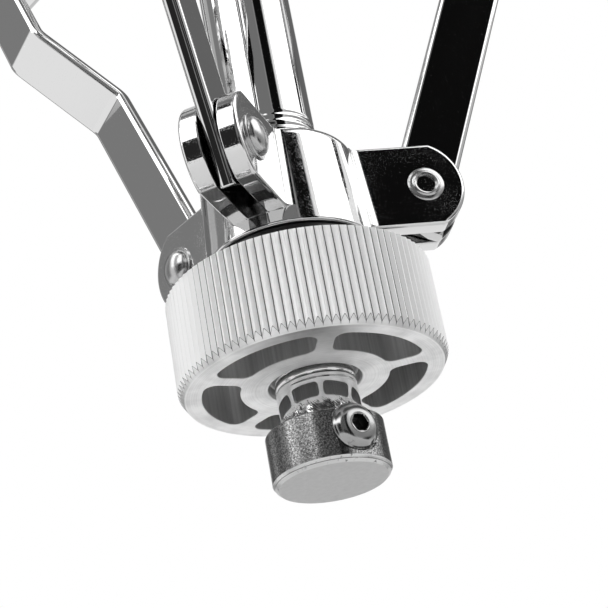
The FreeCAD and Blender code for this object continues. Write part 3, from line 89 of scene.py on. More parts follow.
def linear(code):
    """Linear colour of an sRGB hex code."""
    shares = [int(code[place:place + 2], 16) / 255 for place in (1, 3, 5)]
    return [v / 12.92 if v <= 0.04045 else ((v + 0.055) / 1.055) ** 2.4 for v in shares] + [1.0]


def add(tree, kind, inputs=None, **settings):
    """Adds a node. An input is a value, or the output socket that feeds it."""
    made = tree.nodes.new(kind)
    for name, value in settings.items():
        setattr(made, name, value)
    for name, value in (inputs or {}).items():
        if isinstance(value, bpy.types.NodeSocket):
            tree.links.new(value, made.inputs[name])
        else:
            made.inputs[name].default_value = value
    return made


def start(name, code, metallic, roughness):
    """New material with its shader set. Returns it, its tree, the shader's inputs and the object's coordinates."""
    material = bpy.data.materials.new(name)
    material.use_nodes = True
    tree = material.node_tree
    inputs = tree.nodes["Principled BSDF"].inputs
    inputs["Base Color"].default_value = linear(code)
    inputs["Metallic"].default_value = metallic
    inputs["Roughness"].default_value = roughness
    material.diffuse_color = linear(code)
    return material, tree, inputs, add(tree, "ShaderNodeTexCoord").outputs["Object"]


def per_metre(size):
    """Noise scale whose blotches are about that many millimetres wide, on coordinates in metres."""
    return 1 / (size * MM)


print("middle grey is", round(linear("#808080")[0], 3), "linear")

# %% [markdown]
# Tube and strips are drawn steel, polished and chrome plated. Chrome is a mirror: the eye doesn't see the
# metal but the studio in it. A perfect mirror looks false, so what makes it real is what breaks it. Waves
# and pits could be moved points of the mesh, but that takes millions of them, so two noises in the bump
# do it: a slow one for what polishing left and a fine one for pits.

# %% Chrome plate on drawn steel
chrome_steel, tree, inputs, where = start("chrome plated steel", "#DEDEDE", 1.0, 0.035)
# Polishing leaves the tube a little wavy over about 9 mm
wave = add(tree, "ShaderNodeTexNoise", {"Vector": where, "Scale": per_metre(9), "Detail": 1.0})
slow = add(tree, "ShaderNodeBump", {"Height": wave.outputs["Fac"], "Strength": 0.03, "Distance": 0.3 * MM})
# Pits are about 0.02 mm; drawn at 0.2 mm so that a few show
pits = add(tree, "ShaderNodeTexNoise", {"Vector": where, "Scale": per_metre(0.2), "Detail": 1.0})
dust = add(tree, "ShaderNodeMapRange", {"Value": pits.outputs["Fac"], "From Min": 0.68, "From Max": 0.82})
fine = add(tree, "ShaderNodeBump", {"Height": dust.outputs["Result"], "Normal": slow.outputs["Normal"],
                                    "Strength": 0.12, "Distance": 0.02 * MM})
haze = add(tree, "ShaderNodeMapRange", {"Value": dust.outputs["Result"], "To Min": 0.03, "To Max": 0.2})
tree.links.new(fine.outputs["Normal"], inputs["Normal"])
tree.links.new(haze.outputs["Result"], inputs["Roughness"])
print("finish:", chrome_steel.name)

# %% [markdown]
# The hubs, clamps and collars are die-cast zinc under the same chrome. A casting is polished by hand
# before plating, which leaves shorter waves than on drawn tube, and it is porous in places. Even pits
# would look like sand, so a third noise gathers them in patches.

# %% Chrome plate on die-cast zinc
chrome_casting, tree, inputs, where = start("chrome plated zinc casting", "#DCDCDC", 1.0, 0.04)
wave = add(tree, "ShaderNodeTexNoise", {"Vector": where, "Scale": per_metre(6), "Detail": 1.0})
slow = add(tree, "ShaderNodeBump", {"Height": wave.outputs["Fac"], "Strength": 0.04, "Distance": 0.3 * MM})
# Porous patches are about 10 mm wide; each pit is drawn at 0.2 mm, as on the tube
patch = add(tree, "ShaderNodeTexNoise", {"Vector": where, "Scale": per_metre(10), "Detail": 1.0})
pits = add(tree, "ShaderNodeTexNoise", {"Vector": where, "Scale": per_metre(0.2), "Detail": 1.0})
many = add(tree, "ShaderNodeMath", {0: patch.outputs["Fac"], 1: 0.4, 2: pits.outputs["Fac"]},
           operation="MULTIPLY_ADD")
dust = add(tree, "ShaderNodeMapRange", {"Value": many.outputs[0], "From Min": 0.82, "From Max": 0.95})
fine = add(tree, "ShaderNodeBump", {"Height": dust.outputs["Result"], "Normal": slow.outputs["Normal"],
                                    "Strength": 0.25, "Distance": 0.02 * MM})
haze = add(tree, "ShaderNodeMapRange", {"Value": dust.outputs["Result"], "To Min": 0.02, "To Max": 0.09})
tree.links.new(fine.outputs["Normal"], inputs["Normal"])
tree.links.new(haze.outputs["Result"], inputs["Roughness"])
print("finish:", chrome_casting.name)

# %% [markdown]
# The stop cap was pushed on the rod with a twist, so the rod is scuffed for a few millimetres above it.
# The scuffs are noise, stretched along a slanting line. Height on the rod decides how many show, and a
# coarser noise breaks them up, because an even band would look printed.

# %% Scuffed chrome
scuffed_chrome, tree, inputs, where = start("scuffed chrome plate", "#DEDEDE", 1.0, 0.035)
# Scratches are about 0.05 mm wide; drawn at 0.2 mm, eight times as long, in patches of 2 mm
slant = add(tree, "ShaderNodeMapping", {"Vector": where, "Rotation": (0.0, -0.7, 0.0), "Scale": (1.0, 1.0, 8.0)},
            vector_type="TEXTURE")
lines = add(tree, "ShaderNodeTexNoise", {"Vector": slant.outputs["Vector"], "Scale": per_metre(0.2), "Detail": 2.0})
patch = add(tree, "ShaderNodeTexNoise", {"Vector": where, "Scale": per_metre(2), "Detail": 2.0})
high = add(tree, "ShaderNodeSeparateXYZ", {0: where}).outputs["Z"]
# Most scuffs lie below 12.5 mm, none above 16.5 mm
zone = add(tree, "ShaderNodeMapRange", {"Value": high, "From Min": 12.5 * MM, "From Max": 16.5 * MM,
                                        "To Min": 0.14, "To Max": -0.3})
many = add(tree, "ShaderNodeMath", {0: patch.outputs["Fac"], 1: 0.5, 2: zone.outputs["Result"]},
           operation="MULTIPLY_ADD")
total = add(tree, "ShaderNodeMath", {0: lines.outputs["Fac"], 1: many.outputs[0]}, operation="ADD")
scuff = add(tree, "ShaderNodeMapRange", {"Value": total.outputs[0], "From Min": 0.82, "From Max": 0.94})
tone = add(tree, "ShaderNodeMix", {"Factor": scuff.outputs["Result"],
                                   FIRST: linear("#DEDEDE"), SECOND: linear("#5A5A5A")}, data_type="RGBA")
bump = add(tree, "ShaderNodeBump", {"Height": scuff.outputs["Result"], "Strength": 0.35, "Distance": 0.04 * MM},
           invert=True)
gloss = add(tree, "ShaderNodeMapRange", {"Value": scuff.outputs["Result"], "To Min": 0.035, "To Max": 0.3})
tree.links.new(tone.outputs[MIXED], inputs["Base Color"])
tree.links.new(bump.outputs["Normal"], inputs["Normal"])
tree.links.new(gloss.outputs["Result"], inputs["Roughness"])
print("finish:", scuffed_chrome.name)

# %% [markdown]
# The plating current hardly reaches between two ears of a hub, so the plate is thin, grey and cloudy
# there. Its dark grey is also painted shade, for the shade that falls into the slot between the ears. A
# cloudy noise gives both the grey and the gloss, because thin plate is dull where it is dark.

# %% Thin chrome with painted shade in the hollows
thin_chrome_painted_shade, tree, inputs, where = start("thin chrome plate with painted shade", "#6E6E6E", 1.0, 0.16)
# Clouds of about 3 mm
patch = add(tree, "ShaderNodeTexNoise", {"Vector": where, "Scale": per_metre(3), "Detail": 3.0})
spread = add(tree, "ShaderNodeMapRange", {"Value": patch.outputs["Fac"], "From Min": 0.35, "From Max": 0.65})
shade = add(tree, "ShaderNodeMix", {"Factor": spread.outputs["Result"],
                                    FIRST: linear("#4A4A4A"), SECOND: linear("#929292")}, data_type="RGBA")
gloss = add(tree, "ShaderNodeMapRange", {"Value": patch.outputs["Fac"], "To Min": 0.08, "To Max": 0.24})
tree.links.new(shade.outputs[MIXED], inputs["Base Color"])
tree.links.new(gloss.outputs["Result"], inputs["Roughness"])
print("finish:", thin_chrome_painted_shade.name)

# %% [markdown]
# The stop cap is turned steel with a satin nickel plate: greyer than chrome, with a sparkle from the
# grain of the blasted surface. The same fine noise gives the grain's colour and its bump, so that a pale
# grain also stands up. A second, cloudy noise varies the gloss.

# %% Satin nickel plate
satin_nickel, tree, inputs, where = start("satin nickel plate", "#929292", 1.0, 0.2)
# The blasted grain is about 0.1 mm; drawn at 0.3 mm so that it shows
grain = add(tree, "ShaderNodeTexNoise", {"Vector": where, "Scale": per_metre(0.3), "Detail": 2.0})
bump = add(tree, "ShaderNodeBump", {"Height": grain.outputs["Fac"], "Strength": 0.17, "Distance": 0.06 * MM})
sparkle = add(tree, "ShaderNodeMapRange", {"Value": grain.outputs["Fac"], "From Min": 0.35, "From Max": 0.68})
tone = add(tree, "ShaderNodeMix", {"Factor": sparkle.outputs["Result"],
                                   FIRST: linear("#545454"), SECOND: linear("#B8B8B8")}, data_type="RGBA")
clouds = add(tree, "ShaderNodeTexNoise", {"Vector": where, "Scale": per_metre(2.5), "Detail": 3.0})
gloss = add(tree, "ShaderNodeMapRange", {"Value": clouds.outputs["Fac"], "From Min": 0.3, "From Max": 0.7,
                                         "To Min": 0.16, "To Max": 0.24})
tree.links.new(tone.outputs[MIXED], inputs["Base Color"])
tree.links.new(bump.outputs["Normal"], inputs["Normal"])
tree.links.new(gloss.outputs["Result"], inputs["Roughness"])
print("finish:", satin_nickel.name)

# %% [markdown]
# The cap's end was only faced on the lathe and left matt. It is so dull that rings would hardly show, so
# a faint cloud in the colour and a high roughness are enough.

# %% Faced steel
faced_steel, tree, inputs, where = start("faced steel", "#B9B9B9", 1.0, 0.62)
# Clouds of about 1.2 mm
bloom = add(tree, "ShaderNodeTexNoise", {"Vector": where, "Scale": per_metre(1.2), "Detail": 4.0})
shade = add(tree, "ShaderNodeMix", {"Factor": bloom.outputs["Fac"],
                                    FIRST: linear("#C4C4C4"), SECOND: linear("#D6D6D6")}, data_type="RGBA")
tree.links.new(shade.outputs[MIXED], inputs["Base Color"])
print("finish:", faced_steel.name)

# %% [markdown]
# Rivets are tumbled in a drum before they are plated with nickel. That leaves a plain metal, softer than
# chrome, with marks so shallow that they show only as a change of gloss.

# %% Tumbled nickel plate
tumbled_nickel, tree, inputs, where = start("tumbled nickel plate", "#BCBCBC", 1.0, 0.28)
# Tumbling marks are about 0.2 mm apart; drawn at 0.5 mm
marks = add(tree, "ShaderNodeTexNoise", {"Vector": where, "Scale": per_metre(0.5), "Detail": 3.0})
bump = add(tree, "ShaderNodeBump", {"Height": marks.outputs["Fac"], "Strength": 0.015, "Distance": 0.05 * MM})
gloss = add(tree, "ShaderNodeMapRange", {"Value": marks.outputs["Fac"], "From Min": 0.35, "From Max": 0.7,
                                         "To Min": 0.2, "To Max": 0.27})
tree.links.new(bump.outputs["Normal"], inputs["Normal"])
tree.links.new(gloss.outputs["Result"], inputs["Roughness"])
print("finish:", tumbled_nickel.name)

# %% [markdown]
# A screw head is pressed smooth before it is plated, so it is glossier than a rivet. Fingers leave smears
# on it, which a noise draws in the gloss alone.

# %% Bright nickel plate
bright_nickel, tree, inputs, where = start("bright nickel plate", "#A8A8A8", 1.0, 0.18)
# Smears of about 1.5 mm
smears = add(tree, "ShaderNodeTexNoise", {"Vector": where, "Scale": per_metre(1.5), "Detail": 3.0})
gloss = add(tree, "ShaderNodeMapRange", {"Value": smears.outputs["Fac"], "From Min": 0.35, "From Max": 0.65,
                                         "To Min": 0.14, "To Max": 0.21})
tree.links.new(gloss.outputs["Result"], inputs["Roughness"])
print("finish:", bright_nickel.name)

# %% [markdown]
# The cap's bevel gets every knock: the plate is scuffed pale there, with dark nicks. A wear map painted
# by hand would need an image, so a rough noise is cut off steeply, which leaves separate nicks.

# %% Worn nickel edge
worn_nickel, tree, inputs, where = start("worn nickel edge", "#D4D4D4", 1.0, 0.32)
# Nicks are about 0.4 mm; drawn from a noise of 0.9 mm, of which only the lowest spots show
nicks = add(tree, "ShaderNodeTexNoise", {"Vector": where, "Scale": per_metre(0.9), "Detail": 4.0, "Roughness": 0.7})
depth = add(tree, "ShaderNodeMapRange", {"Value": nicks.outputs["Fac"], "From Min": 0.3, "From Max": 0.4})
shade = add(tree, "ShaderNodeMix", {"Factor": depth.outputs["Result"],
                                    FIRST: linear("#747474"), SECOND: linear("#DEDEDE")}, data_type="RGBA")
bump = add(tree, "ShaderNodeBump", {"Height": nicks.outputs["Fac"], "Strength": 0.5, "Distance": 0.1 * MM})
tree.links.new(shade.outputs[MIXED], inputs["Base Color"])
tree.links.new(bump.outputs["Normal"], inputs["Normal"])
print("finish:", worn_nickel.name)

# %% [markdown]
# The set screws outside the photograph are zinc plated, as such screws are: bright, a little bluish, and
# cloudy where the plate was dipped. One noise gives the cloud's colour and its gloss.

# %% Bright zinc plate
bright_zinc, tree, inputs, where = start("bright zinc plate", "#D2D3D4", 1.0, 0.22)
# Clouds of about 1.5 mm
bloom = add(tree, "ShaderNodeTexNoise", {"Vector": where, "Scale": per_metre(1.5), "Detail": 4.0})
shade = add(tree, "ShaderNodeMix", {"Factor": bloom.outputs["Fac"],
                                    FIRST: linear("#C6C7C9"), SECOND: linear("#DEDEDE")}, data_type="RGBA")
gloss = add(tree, "ShaderNodeMapRange", {"Value": bloom.outputs["Fac"], "To Min": 0.16, "To Max": 0.32})
tree.links.new(shade.outputs[MIXED], inputs["Base Color"])
tree.links.new(gloss.outputs["Result"], inputs["Roughness"])
print("finish:", bright_zinc.name)

# %% [markdown]
# Plate hardly reaches into a socket or a hollow rivet, so the steel there is bare, a little dark and oily.
# Its deep grey is mostly painted shade, for the little light that gets into so small a hole. An oil film
# is uneven, and a noise between two dark greys is all of it that shows in so small a hole.

# %% Oiled steel with painted shade
oiled_steel_painted_shade, tree, inputs, where = start("oiled steel with painted shade", "#3C3C3C", 1.0, 0.3)
# The film changes over about 0.8 mm
film = add(tree, "ShaderNodeTexNoise", {"Vector": where, "Scale": per_metre(0.8), "Detail": 3.0})
shade = add(tree, "ShaderNodeMix", {"Factor": film.outputs["Fac"],
                                    FIRST: linear("#242424"), SECOND: linear("#565656")}, data_type="RGBA")
tree.links.new(shade.outputs[MIXED], inputs["Base Color"])
print("finish:", oiled_steel_painted_shade.name)

# %% [markdown]
# The hand nut is bare aluminium, and four tools left four finishes on it. A wheel pressed the knurl into
# the rim, which leaves a soft, almost white metal. The knurl itself is in the mesh, so this finish has
# only the fine grain of the pressed skin.

# %% Knurled aluminium
knurled_aluminium, tree, inputs, where = start("knurled aluminium", "#FAFAFA", 1.0, 0.7)
# The pressed skin is grainy at about 0.15 mm; drawn at 0.35 mm
skin = add(tree, "ShaderNodeTexNoise", {"Vector": where, "Scale": per_metre(0.35), "Detail": 3.0})
bump = add(tree, "ShaderNodeBump", {"Height": skin.outputs["Fac"], "Strength": 0.25, "Distance": 0.04 * MM})
tree.links.new(bump.outputs["Normal"], inputs["Normal"])
print("finish:", knurled_aluminium.name)

# %% [markdown]
# A lathe cut the nut's lower face, so fine rings run round its axis. The distance from the axis feeds a
# noise of one dimension, which is the same all the way round. A picture of rings would do it too, but
# would blur close up.

# %% Turned aluminium
turned_aluminium, tree, inputs, where = start("turned aluminium", "#EDEDED", 1.0, 0.42)
spot = add(tree, "ShaderNodeVectorMath", {0: where, 1: (1.0, 1.0, 0.0)}, operation="MULTIPLY")
out = add(tree, "ShaderNodeVectorMath", {0: spot.outputs["Vector"]}, operation="LENGTH")
# The lathe's feed is about 0.1 mm a turn; drawn at 0.35 mm so that the rings show
feed = add(tree, "ShaderNodeTexNoise", {"W": out.outputs["Value"], "Scale": per_metre(0.35), "Detail": 2.0},
           noise_dimensions="1D")
bump = add(tree, "ShaderNodeBump", {"Height": feed.outputs["Fac"], "Strength": 0.12, "Distance": 0.05 * MM})
# Handling leaves cloudy stains of about 5 mm over the rings
stains = add(tree, "ShaderNodeTexNoise", {"Vector": where, "Scale": per_metre(5), "Detail": 4.0})
both = add(tree, "ShaderNodeMath", {0: feed.outputs["Fac"], 1: 0.35, 2: stains.outputs["Fac"]},
           operation="MULTIPLY_ADD")
contrast = add(tree, "ShaderNodeMapRange", {"Value": both.outputs[0], "From Min": 0.45, "From Max": 0.85})
tone = add(tree, "ShaderNodeMix", {"Factor": contrast.outputs["Result"],
                                   FIRST: linear("#D8D8D8"), SECOND: linear("#F6F6F6")}, data_type="RGBA")
# Turned grooves stretch a highlight across them, so the gloss is drawn out along the radius
inputs["Anisotropic"].default_value = 0.35
along = add(tree, "ShaderNodeTangent", direction_type="RADIAL", axis="Z")
tree.links.new(along.outputs["Tangent"], inputs["Tangent"])
tree.links.new(bump.outputs["Normal"], inputs["Normal"])
tree.links.new(tone.outputs[MIXED], inputs["Base Color"])
print("finish:", turned_aluminium.name)

# %% [markdown]
# Inside the nut's windows an upright cutter left upright lines. Coordinates that are squeezed along the
# axis stretch a plain noise into such lines. The grey, darker than the turned face, is partly painted
# shade for the windows, the bore and the face under the washer.

# %% Milled aluminium with painted shade
milled_aluminium_painted_shade, tree, inputs, where = start("milled aluminium with painted shade", "#C0C0C0", 1.0, 0.5)
upright = add(tree, "ShaderNodeVectorMath", {0: where, 1: (1.0, 1.0, 0.02)}, operation="MULTIPLY")
# The cutter's lines are about 0.2 mm apart; drawn at 0.6 mm
lines = add(tree, "ShaderNodeTexNoise", {"Vector": upright.outputs["Vector"], "Scale": per_metre(0.6), "Detail": 2.0})
tone = add(tree, "ShaderNodeMix", {"Factor": lines.outputs["Fac"],
                                   FIRST: linear("#B0B0B0"), SECOND: linear("#E8E8E8")}, data_type="RGBA")
tree.links.new(tone.outputs[MIXED], inputs["Base Color"])
print("finish:", milled_aluminium_painted_shade.name)

# %% [markdown]
# Where the lathe cut through the knurl it left a ragged burr that holds dirt, and dirt and shade lie in the
# bottom of each groove. The eye sees a thin, broken, dark line, so it is a narrow strip of mesh with this
# finish, whose dark grey is dirt and painted shade together.

# %% Aluminium burr with painted shade
burr_aluminium_painted_shade, tree, inputs, where = start("aluminium burr with painted shade", "#7A7A7A", 1.0, 0.6)
# Crumbs of dirt of about 0.2 mm break up the painted shade; drawn at 0.5 mm
crumbs = add(tree, "ShaderNodeTexNoise", {"Vector": where, "Scale": per_metre(0.5), "Detail": 2.0})
tone = add(tree, "ShaderNodeMix", {"Factor": crumbs.outputs["Fac"],
                                   FIRST: linear("#646464"), SECOND: linear("#C2C2C2")}, data_type="RGBA")
tree.links.new(tone.outputs[MIXED], inputs["Base Color"])
print("finish:", burr_aluminium_painted_shade.name)

# %% [markdown]
# Feet and grips are moulded rubber, which is dark grey rather than black and scatters light off a fine
# moulded grain. A fine noise in the bump is that grain, and a coarse one in the colour is where hands and
# floors have worn it.

# %% Moulded rubber
moulded_rubber, tree, inputs, where = start("moulded rubber", "#242424", 0.0, 0.68)
inputs["IOR"].default_value = 1.52
# Spark-eroded mould grain of about 0.3 mm, drawn at 0.7 mm; worn patches of about 12 mm
grain = add(tree, "ShaderNodeTexNoise", {"Vector": where, "Scale": per_metre(0.7), "Detail": 3.0})
bump = add(tree, "ShaderNodeBump", {"Height": grain.outputs["Fac"], "Strength": 0.4, "Distance": 0.12 * MM})
worn = add(tree, "ShaderNodeTexNoise", {"Vector": where, "Scale": per_metre(12), "Detail": 3.0})
tone = add(tree, "ShaderNodeMix", {"Factor": worn.outputs["Fac"],
                                   FIRST: linear("#1C1C1C"), SECOND: linear("#303030")}, data_type="RGBA")
tree.links.new(bump.outputs["Normal"], inputs["Normal"])
tree.links.new(tone.outputs[MIXED], inputs["Base Color"])
print("finish:", moulded_rubber.name)

# %% [markdown]
# The washer and the bushes are black nylon, smoother than rubber and with a soft shine. One noise gives
# the mould's grain and lets the shine vary with it. Then each material slot of the record gets its finish.

# %% Black nylon, and a finish for each slot
black_nylon, tree, inputs, where = start("black nylon", "#141414", 0.0, 0.42)
inputs["IOR"].default_value = 1.53
# Mould grain of about 0.3 mm, drawn at 0.8 mm
grain = add(tree, "ShaderNodeTexNoise", {"Vector": where, "Scale": per_metre(0.8), "Detail": 2.0})
bump = add(tree, "ShaderNodeBump", {"Height": grain.outputs["Fac"], "Strength": 0.15, "Distance": 0.05 * MM})
gloss = add(tree, "ShaderNodeMapRange", {"Value": grain.outputs["Fac"], "To Min": 0.34, "To Max": 0.52})
tree.links.new(bump.outputs["Normal"], inputs["Normal"])
tree.links.new(gloss.outputs["Result"], inputs["Roughness"])

FINISHES = {
    "chrome_steel": chrome_steel,
    "chrome_casting": chrome_casting,
    "plated_rivet": tumbled_nickel,
    "plated_screw": bright_zinc,
    "nickel_cap": satin_nickel,
    "bare_aluminium": turned_aluminium,
    "black_rubber": moulded_rubber,
    "black_nylon": black_nylon,
}
print("finish:", black_nylon.name, "and", len(FINISHES), "slots")

# %% [markdown]
# Most pieces here are turned on a lathe or swept along a line. Blender's own cylinders and modifiers could
# make them, but then a knurl or a thread would need tricks. Drawing each row of points in code keeps every
# size in sight. A mesh is then set down as an object that rides its body. Edges that turn by more than 32
# degrees are marked sharp, and weighted normals keep large faces flat where a rounded edge meets them.

# %% From mesh to piece
SHARP = math.radians(32)
# Points closer than this are one point
WELD = 1e-4


def settle(name, bm, body, finishes, nodes, sharp=SHARP):
    """Makes a piece from a mesh in millimetres, lets it ride a body and stand for its nodes."""
    bmesh.ops.recalc_face_normals(bm, faces=bm.faces)
    for face in bm.faces:
        face.smooth = True
    for edge in bm.edges:
        edge.smooth = len(edge.link_faces) == 2 and edge.calc_face_angle() < sharp
    data = bpy.data.meshes.new(name)
    bmesh.ops.transform(bm, matrix=Matrix.Scale(MM, 4), verts=bm.verts)
    bm.to_mesh(data)
    bm.free()
    for finish in finishes:
        data.materials.append(finish)
    made = bpy.data.objects.new(name, data)
    bpy.context.scene.collection.objects.link(made)
    made.location = POST
    fair = made.modifiers.new("flat faces stay flat", "WEIGHTED_NORMAL")
    fair.keep_sharp = True
    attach(made, body)
    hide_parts(*nodes)
    return made


def rings(bm, rows, steps, closed=False, place=Matrix(), mark=0):
    """Skins rows of points round an axis. A row is (radius, height), or a function of the angle that gives them.
    Steps are a count, or the angles themselves. Mark is the finish, by its place in the piece's list."""
    angles = [TURN * step / steps for step in range(steps)] if isinstance(steps, int) else steps
    skin = []
    for row in rows:
        ring = []
        if not callable(row) and row[0] == 0:
            ring = [bm.verts.new(place @ Vector((0, 0, row[1])))]
        else:
            for angle in angles:
                radius, height = row(angle) if callable(row) else row
                spot = Vector((radius * math.cos(angle), radius * math.sin(angle), height))
                ring.append(bm.verts.new(place @ spot))
        skin.append(ring)
    pairs = list(zip(skin, skin[1:]))
    if closed:
        pairs.append((skin[-1], skin[0]))
    for lower, upper in pairs:
        for near in range(len(angles)):
            far = (near + 1) % len(angles)
            corners = [lower[near % len(lower)], lower[far % len(lower)],
                       upper[far % len(upper)], upper[near % len(upper)]]
            face = bm.faces.new(list(dict.fromkeys(corners)))
            face.material_index = mark
    return skin


def fillet(centre, radius, first, last, count):
    """Points on an arc in a plane, such as (radius, height), between two angles in degrees."""
    turns = [math.radians(first + (last - first) * step / count) for step in range(count + 1)]
    return [(centre[0] + radius * math.cos(turn), centre[1] + radius * math.sin(turn)) for turn in turns]


print("edges above", round(math.degrees(SHARP)), "degrees stay sharp")

# %% [markdown]
# The centre post is drawn tube. Above the hub its neck was rolled down on the rod, which left a row of
# shallow rings that aren't quite even. In the photograph each ring bends the reflections into a short
# bright bar. A plain lathe profile can't wobble, so the neck's radius also depends on the angle.

# %% Post tube
tube_low, tube_high = reach("post_tube")
rod_low, rod_high = reach("threaded_rod")
hub_low, hub_high = reach("lower_hub")
POST_RADIUS = tube_high.x
ROD_RADIUS = rod_high.x
NECK_LOW = hub_high.z - 1.0
NECK_PITCH = 1.45
NECK_RINGS = 6
NECK_HIGH = NECK_LOW + NECK_PITCH * NECK_RINGS
RING_DEPTH = 0.21
NECK_STEP = 0.11
# Unevenness of the rings: of their place, in radians, and of their depth, as a share
WOBBLE, RIPPLE, UNEVEN = 0.25, 0.18, 0.3
POST_STEPS = 192


def neck_row(height):
    """One row of the rolled neck, a little uneven round the tube."""
    def row(angle):
        wobble = WOBBLE * math.sin(2 * angle + height) + RIPPLE * math.sin(5 * angle - 2 * height)
        phase = TURN * (height - NECK_LOW) / NECK_PITCH + wobble
        share = min(1, (height - NECK_LOW) / NECK_PITCH, (NECK_HIGH - height) / NECK_PITCH)
        uneven = 1 + UNEVEN * math.sin(3 * angle + 1.7 * height)
        return POST_RADIUS - RING_DEPTH * max(0, share) * uneven * (0.5 - 0.5 * math.cos(phase)), height
    return row


bm = bmesh.new()
rows = [(POST_RADIUS, tube_low.z), (POST_RADIUS, NECK_LOW)]
count = round(NECK_PITCH * NECK_RINGS / NECK_STEP)
rows += [neck_row(NECK_LOW + NECK_STEP * (step + 1)) for step in range(count)]
rows += [(POST_RADIUS, NECK_LOW + NECK_STEP * (count + 2)), (POST_RADIUS, tube_high.z)]
rows += [(ROD_RADIUS, tube_high.z), (ROD_RADIUS, tube_low.z)]
rings(bm, rows, POST_STEPS, closed=True)
settle("post_tube_rolled", bm, "post", [chrome_steel], ["post_tube"])
print("post radius", round(POST_RADIUS, 2), "neck rows", count)

# %% [markdown]
# The rod inside the post carries the nut's thread. CAD has ring grooves there. A real thread climbs, so
# here the groove's height also depends on the angle. Below the thread the rod is plain.

# %% Threaded rod
THREAD_PITCH = 1.5
THREAD_DEPTH, THREAD_STEEP = 0.26, 2.0
THREAD_LOW = 18.0
THREAD_HIGH = tube_low.z
ROWS_PER_PITCH, ROD_STEPS = 10, 120
# The flanks of the thread stay smooth, only the rod's ends are sharp
THREAD_SHARP = math.radians(60)


def thread_row(height):
    """One row of the screw thread: a V groove that climbs one pitch in a turn."""
    def row(angle):
        share = (height / THREAD_PITCH - angle / TURN) % 1
        groove = max(0, 1 - abs(2 * share - 1) * THREAD_STEEP)
        run_out = min(1, max(0, (height - THREAD_LOW) / THREAD_PITCH))
        return ROD_RADIUS - THREAD_DEPTH * groove * run_out, height
    return row


bm = bmesh.new()
thread_long = THREAD_HIGH - THREAD_LOW
count = round(thread_long / THREAD_PITCH * ROWS_PER_PITCH)
rows = [(0, rod_low.z), (ROD_RADIUS, rod_low.z), (ROD_RADIUS, THREAD_LOW)]
rows += [thread_row(THREAD_LOW + thread_long * (step + 1) / count) for step in range(count)]
rows += [(ROD_RADIUS, THREAD_HIGH + THREAD_PITCH), (ROD_RADIUS, rod_high.z), (0, rod_high.z)]
rings(bm, rows, ROD_STEPS)
settle("threaded_rod_cut", bm, "post", [scuffed_chrome], ["threaded_rod"], THREAD_SHARP)
print("thread turns", round(thread_long / THREAD_PITCH, 1))

# %% [markdown]
# The stop cap is pushed on the rod's end and held by a button-head screw. Its side is satin nickel, its
# end is faced, and its worn bevel was cut in two passes that left a fine line between them, drawn dark
# with the painted-shade finish of the sockets. A flat was milled for the screw's head. A boolean could
# cut it, but leaves ragged faces, so points of the side that stand out past the flat, inside the cutter's
# circle, are pulled back to it.

# %% Stop cap
cap_high = reach("stop_cap")[1]
CAP_RADIUS = cap_high.x
CAP_TALL = cap_high.z
CAP_EDGE = 0.3
CAP_STEPS, SIDE_STEPS = 360, 60
# Points of the bevel: in from the side, and up from the end
BEVEL_TOP = 1.2
BEVEL_POINTS = [(1.0, 0.0), (0.4, 0.55), (0.39, 0.64), (0.03, BEVEL_TOP - 0.04)]
# Finishes of the cap, by their place in its list
SATIN, FACED, WORN, SHADE_LINE = range(4)
SCREW_AZIMUTH = math.radians(-70.5)
SCREW_HIGH = 6.9
FLAT_REACH = CAP_RADIUS - 0.9
FLAT_RADIUS = 5.0
outward = Vector((math.cos(SCREW_AZIMUTH), math.sin(SCREW_AZIMUTH), 0))

bm = bmesh.new()
bevel = [(CAP_RADIUS - inset, height) for inset, height in BEVEL_POINTS]
side_tall = CAP_TALL - CAP_EDGE - BEVEL_TOP
side = [(CAP_RADIUS, BEVEL_TOP + side_tall * step / SIDE_STEPS) for step in range(SIDE_STEPS + 1)]
top_edge = fillet((CAP_RADIUS - CAP_EDGE, CAP_TALL - CAP_EDGE), CAP_EDGE, 15, 90, 4)
rings(bm, [(0, 0), bevel[0]], CAP_STEPS, mark=FACED)
# The bevel's middle band is the fine line between the passes, drawn dark with the painted-shade finish
for near, far, mark in zip(bevel, bevel[1:], (WORN, SHADE_LINE, WORN)):
    rings(bm, [near, far], CAP_STEPS, mark=mark)
rings(bm, bevel[-1:] + side + top_edge + [(ROD_RADIUS, CAP_TALL)], CAP_STEPS, mark=SATIN)
bmesh.ops.remove_doubles(bm, verts=bm.verts, dist=WELD)
for vert in bm.verts:
    along = vert.co.dot(outward)
    aside = vert.co - outward * along - Vector((0, 0, SCREW_HIGH))
    if along > FLAT_REACH and aside.length < FLAT_RADIUS:
        vert.co -= outward * (along - FLAT_REACH)
settle("stop_cap_turned", bm, "post", [satin_nickel, faced_steel, worn_nickel, oiled_steel_painted_shade],
       ["stop_cap"])
print("stop cap", round(CAP_RADIUS * 2, 2), "mm across")

# %% [markdown]
# The cap's screw has a button head: a thin rim, a round shoulder, a flat ring, and a hexagon pressed into
# it. A hexagon is only another radius that depends on the angle, so the same rings can draw the whole
# head and no boolean is needed.

# %% Cap screw
HEAD_RADIUS, FACE_RADIUS = 4.75, 2.55
RIM_TALL, RIM_IN = 0.5, 0.2
SHOULDER, FACE_LEAN = 2.4, 6
SOCKET_FLAT, SOCKET_DEEP = 3.1, 2.4
SOCKET_EASE, SOCKET_TIP = 0.22, 0.6
SHANK_RADIUS, SHANK_LOW = 2.5, -3.0
# The rim: radius beyond the head's, and height. Then the socket's raised edge: radius, and height above the flat ring
RIM_ROWS = [(-0.3, 0.0), (0.0, 0.12), (0.0, RIM_TALL - 0.1), (-0.06, RIM_TALL)]
RAISED_ROWS = [(2.15, 0.0), (2.0, 0.02), (1.95, 0.06), (1.88, 0.06)]
HEAD_STEPS = 96


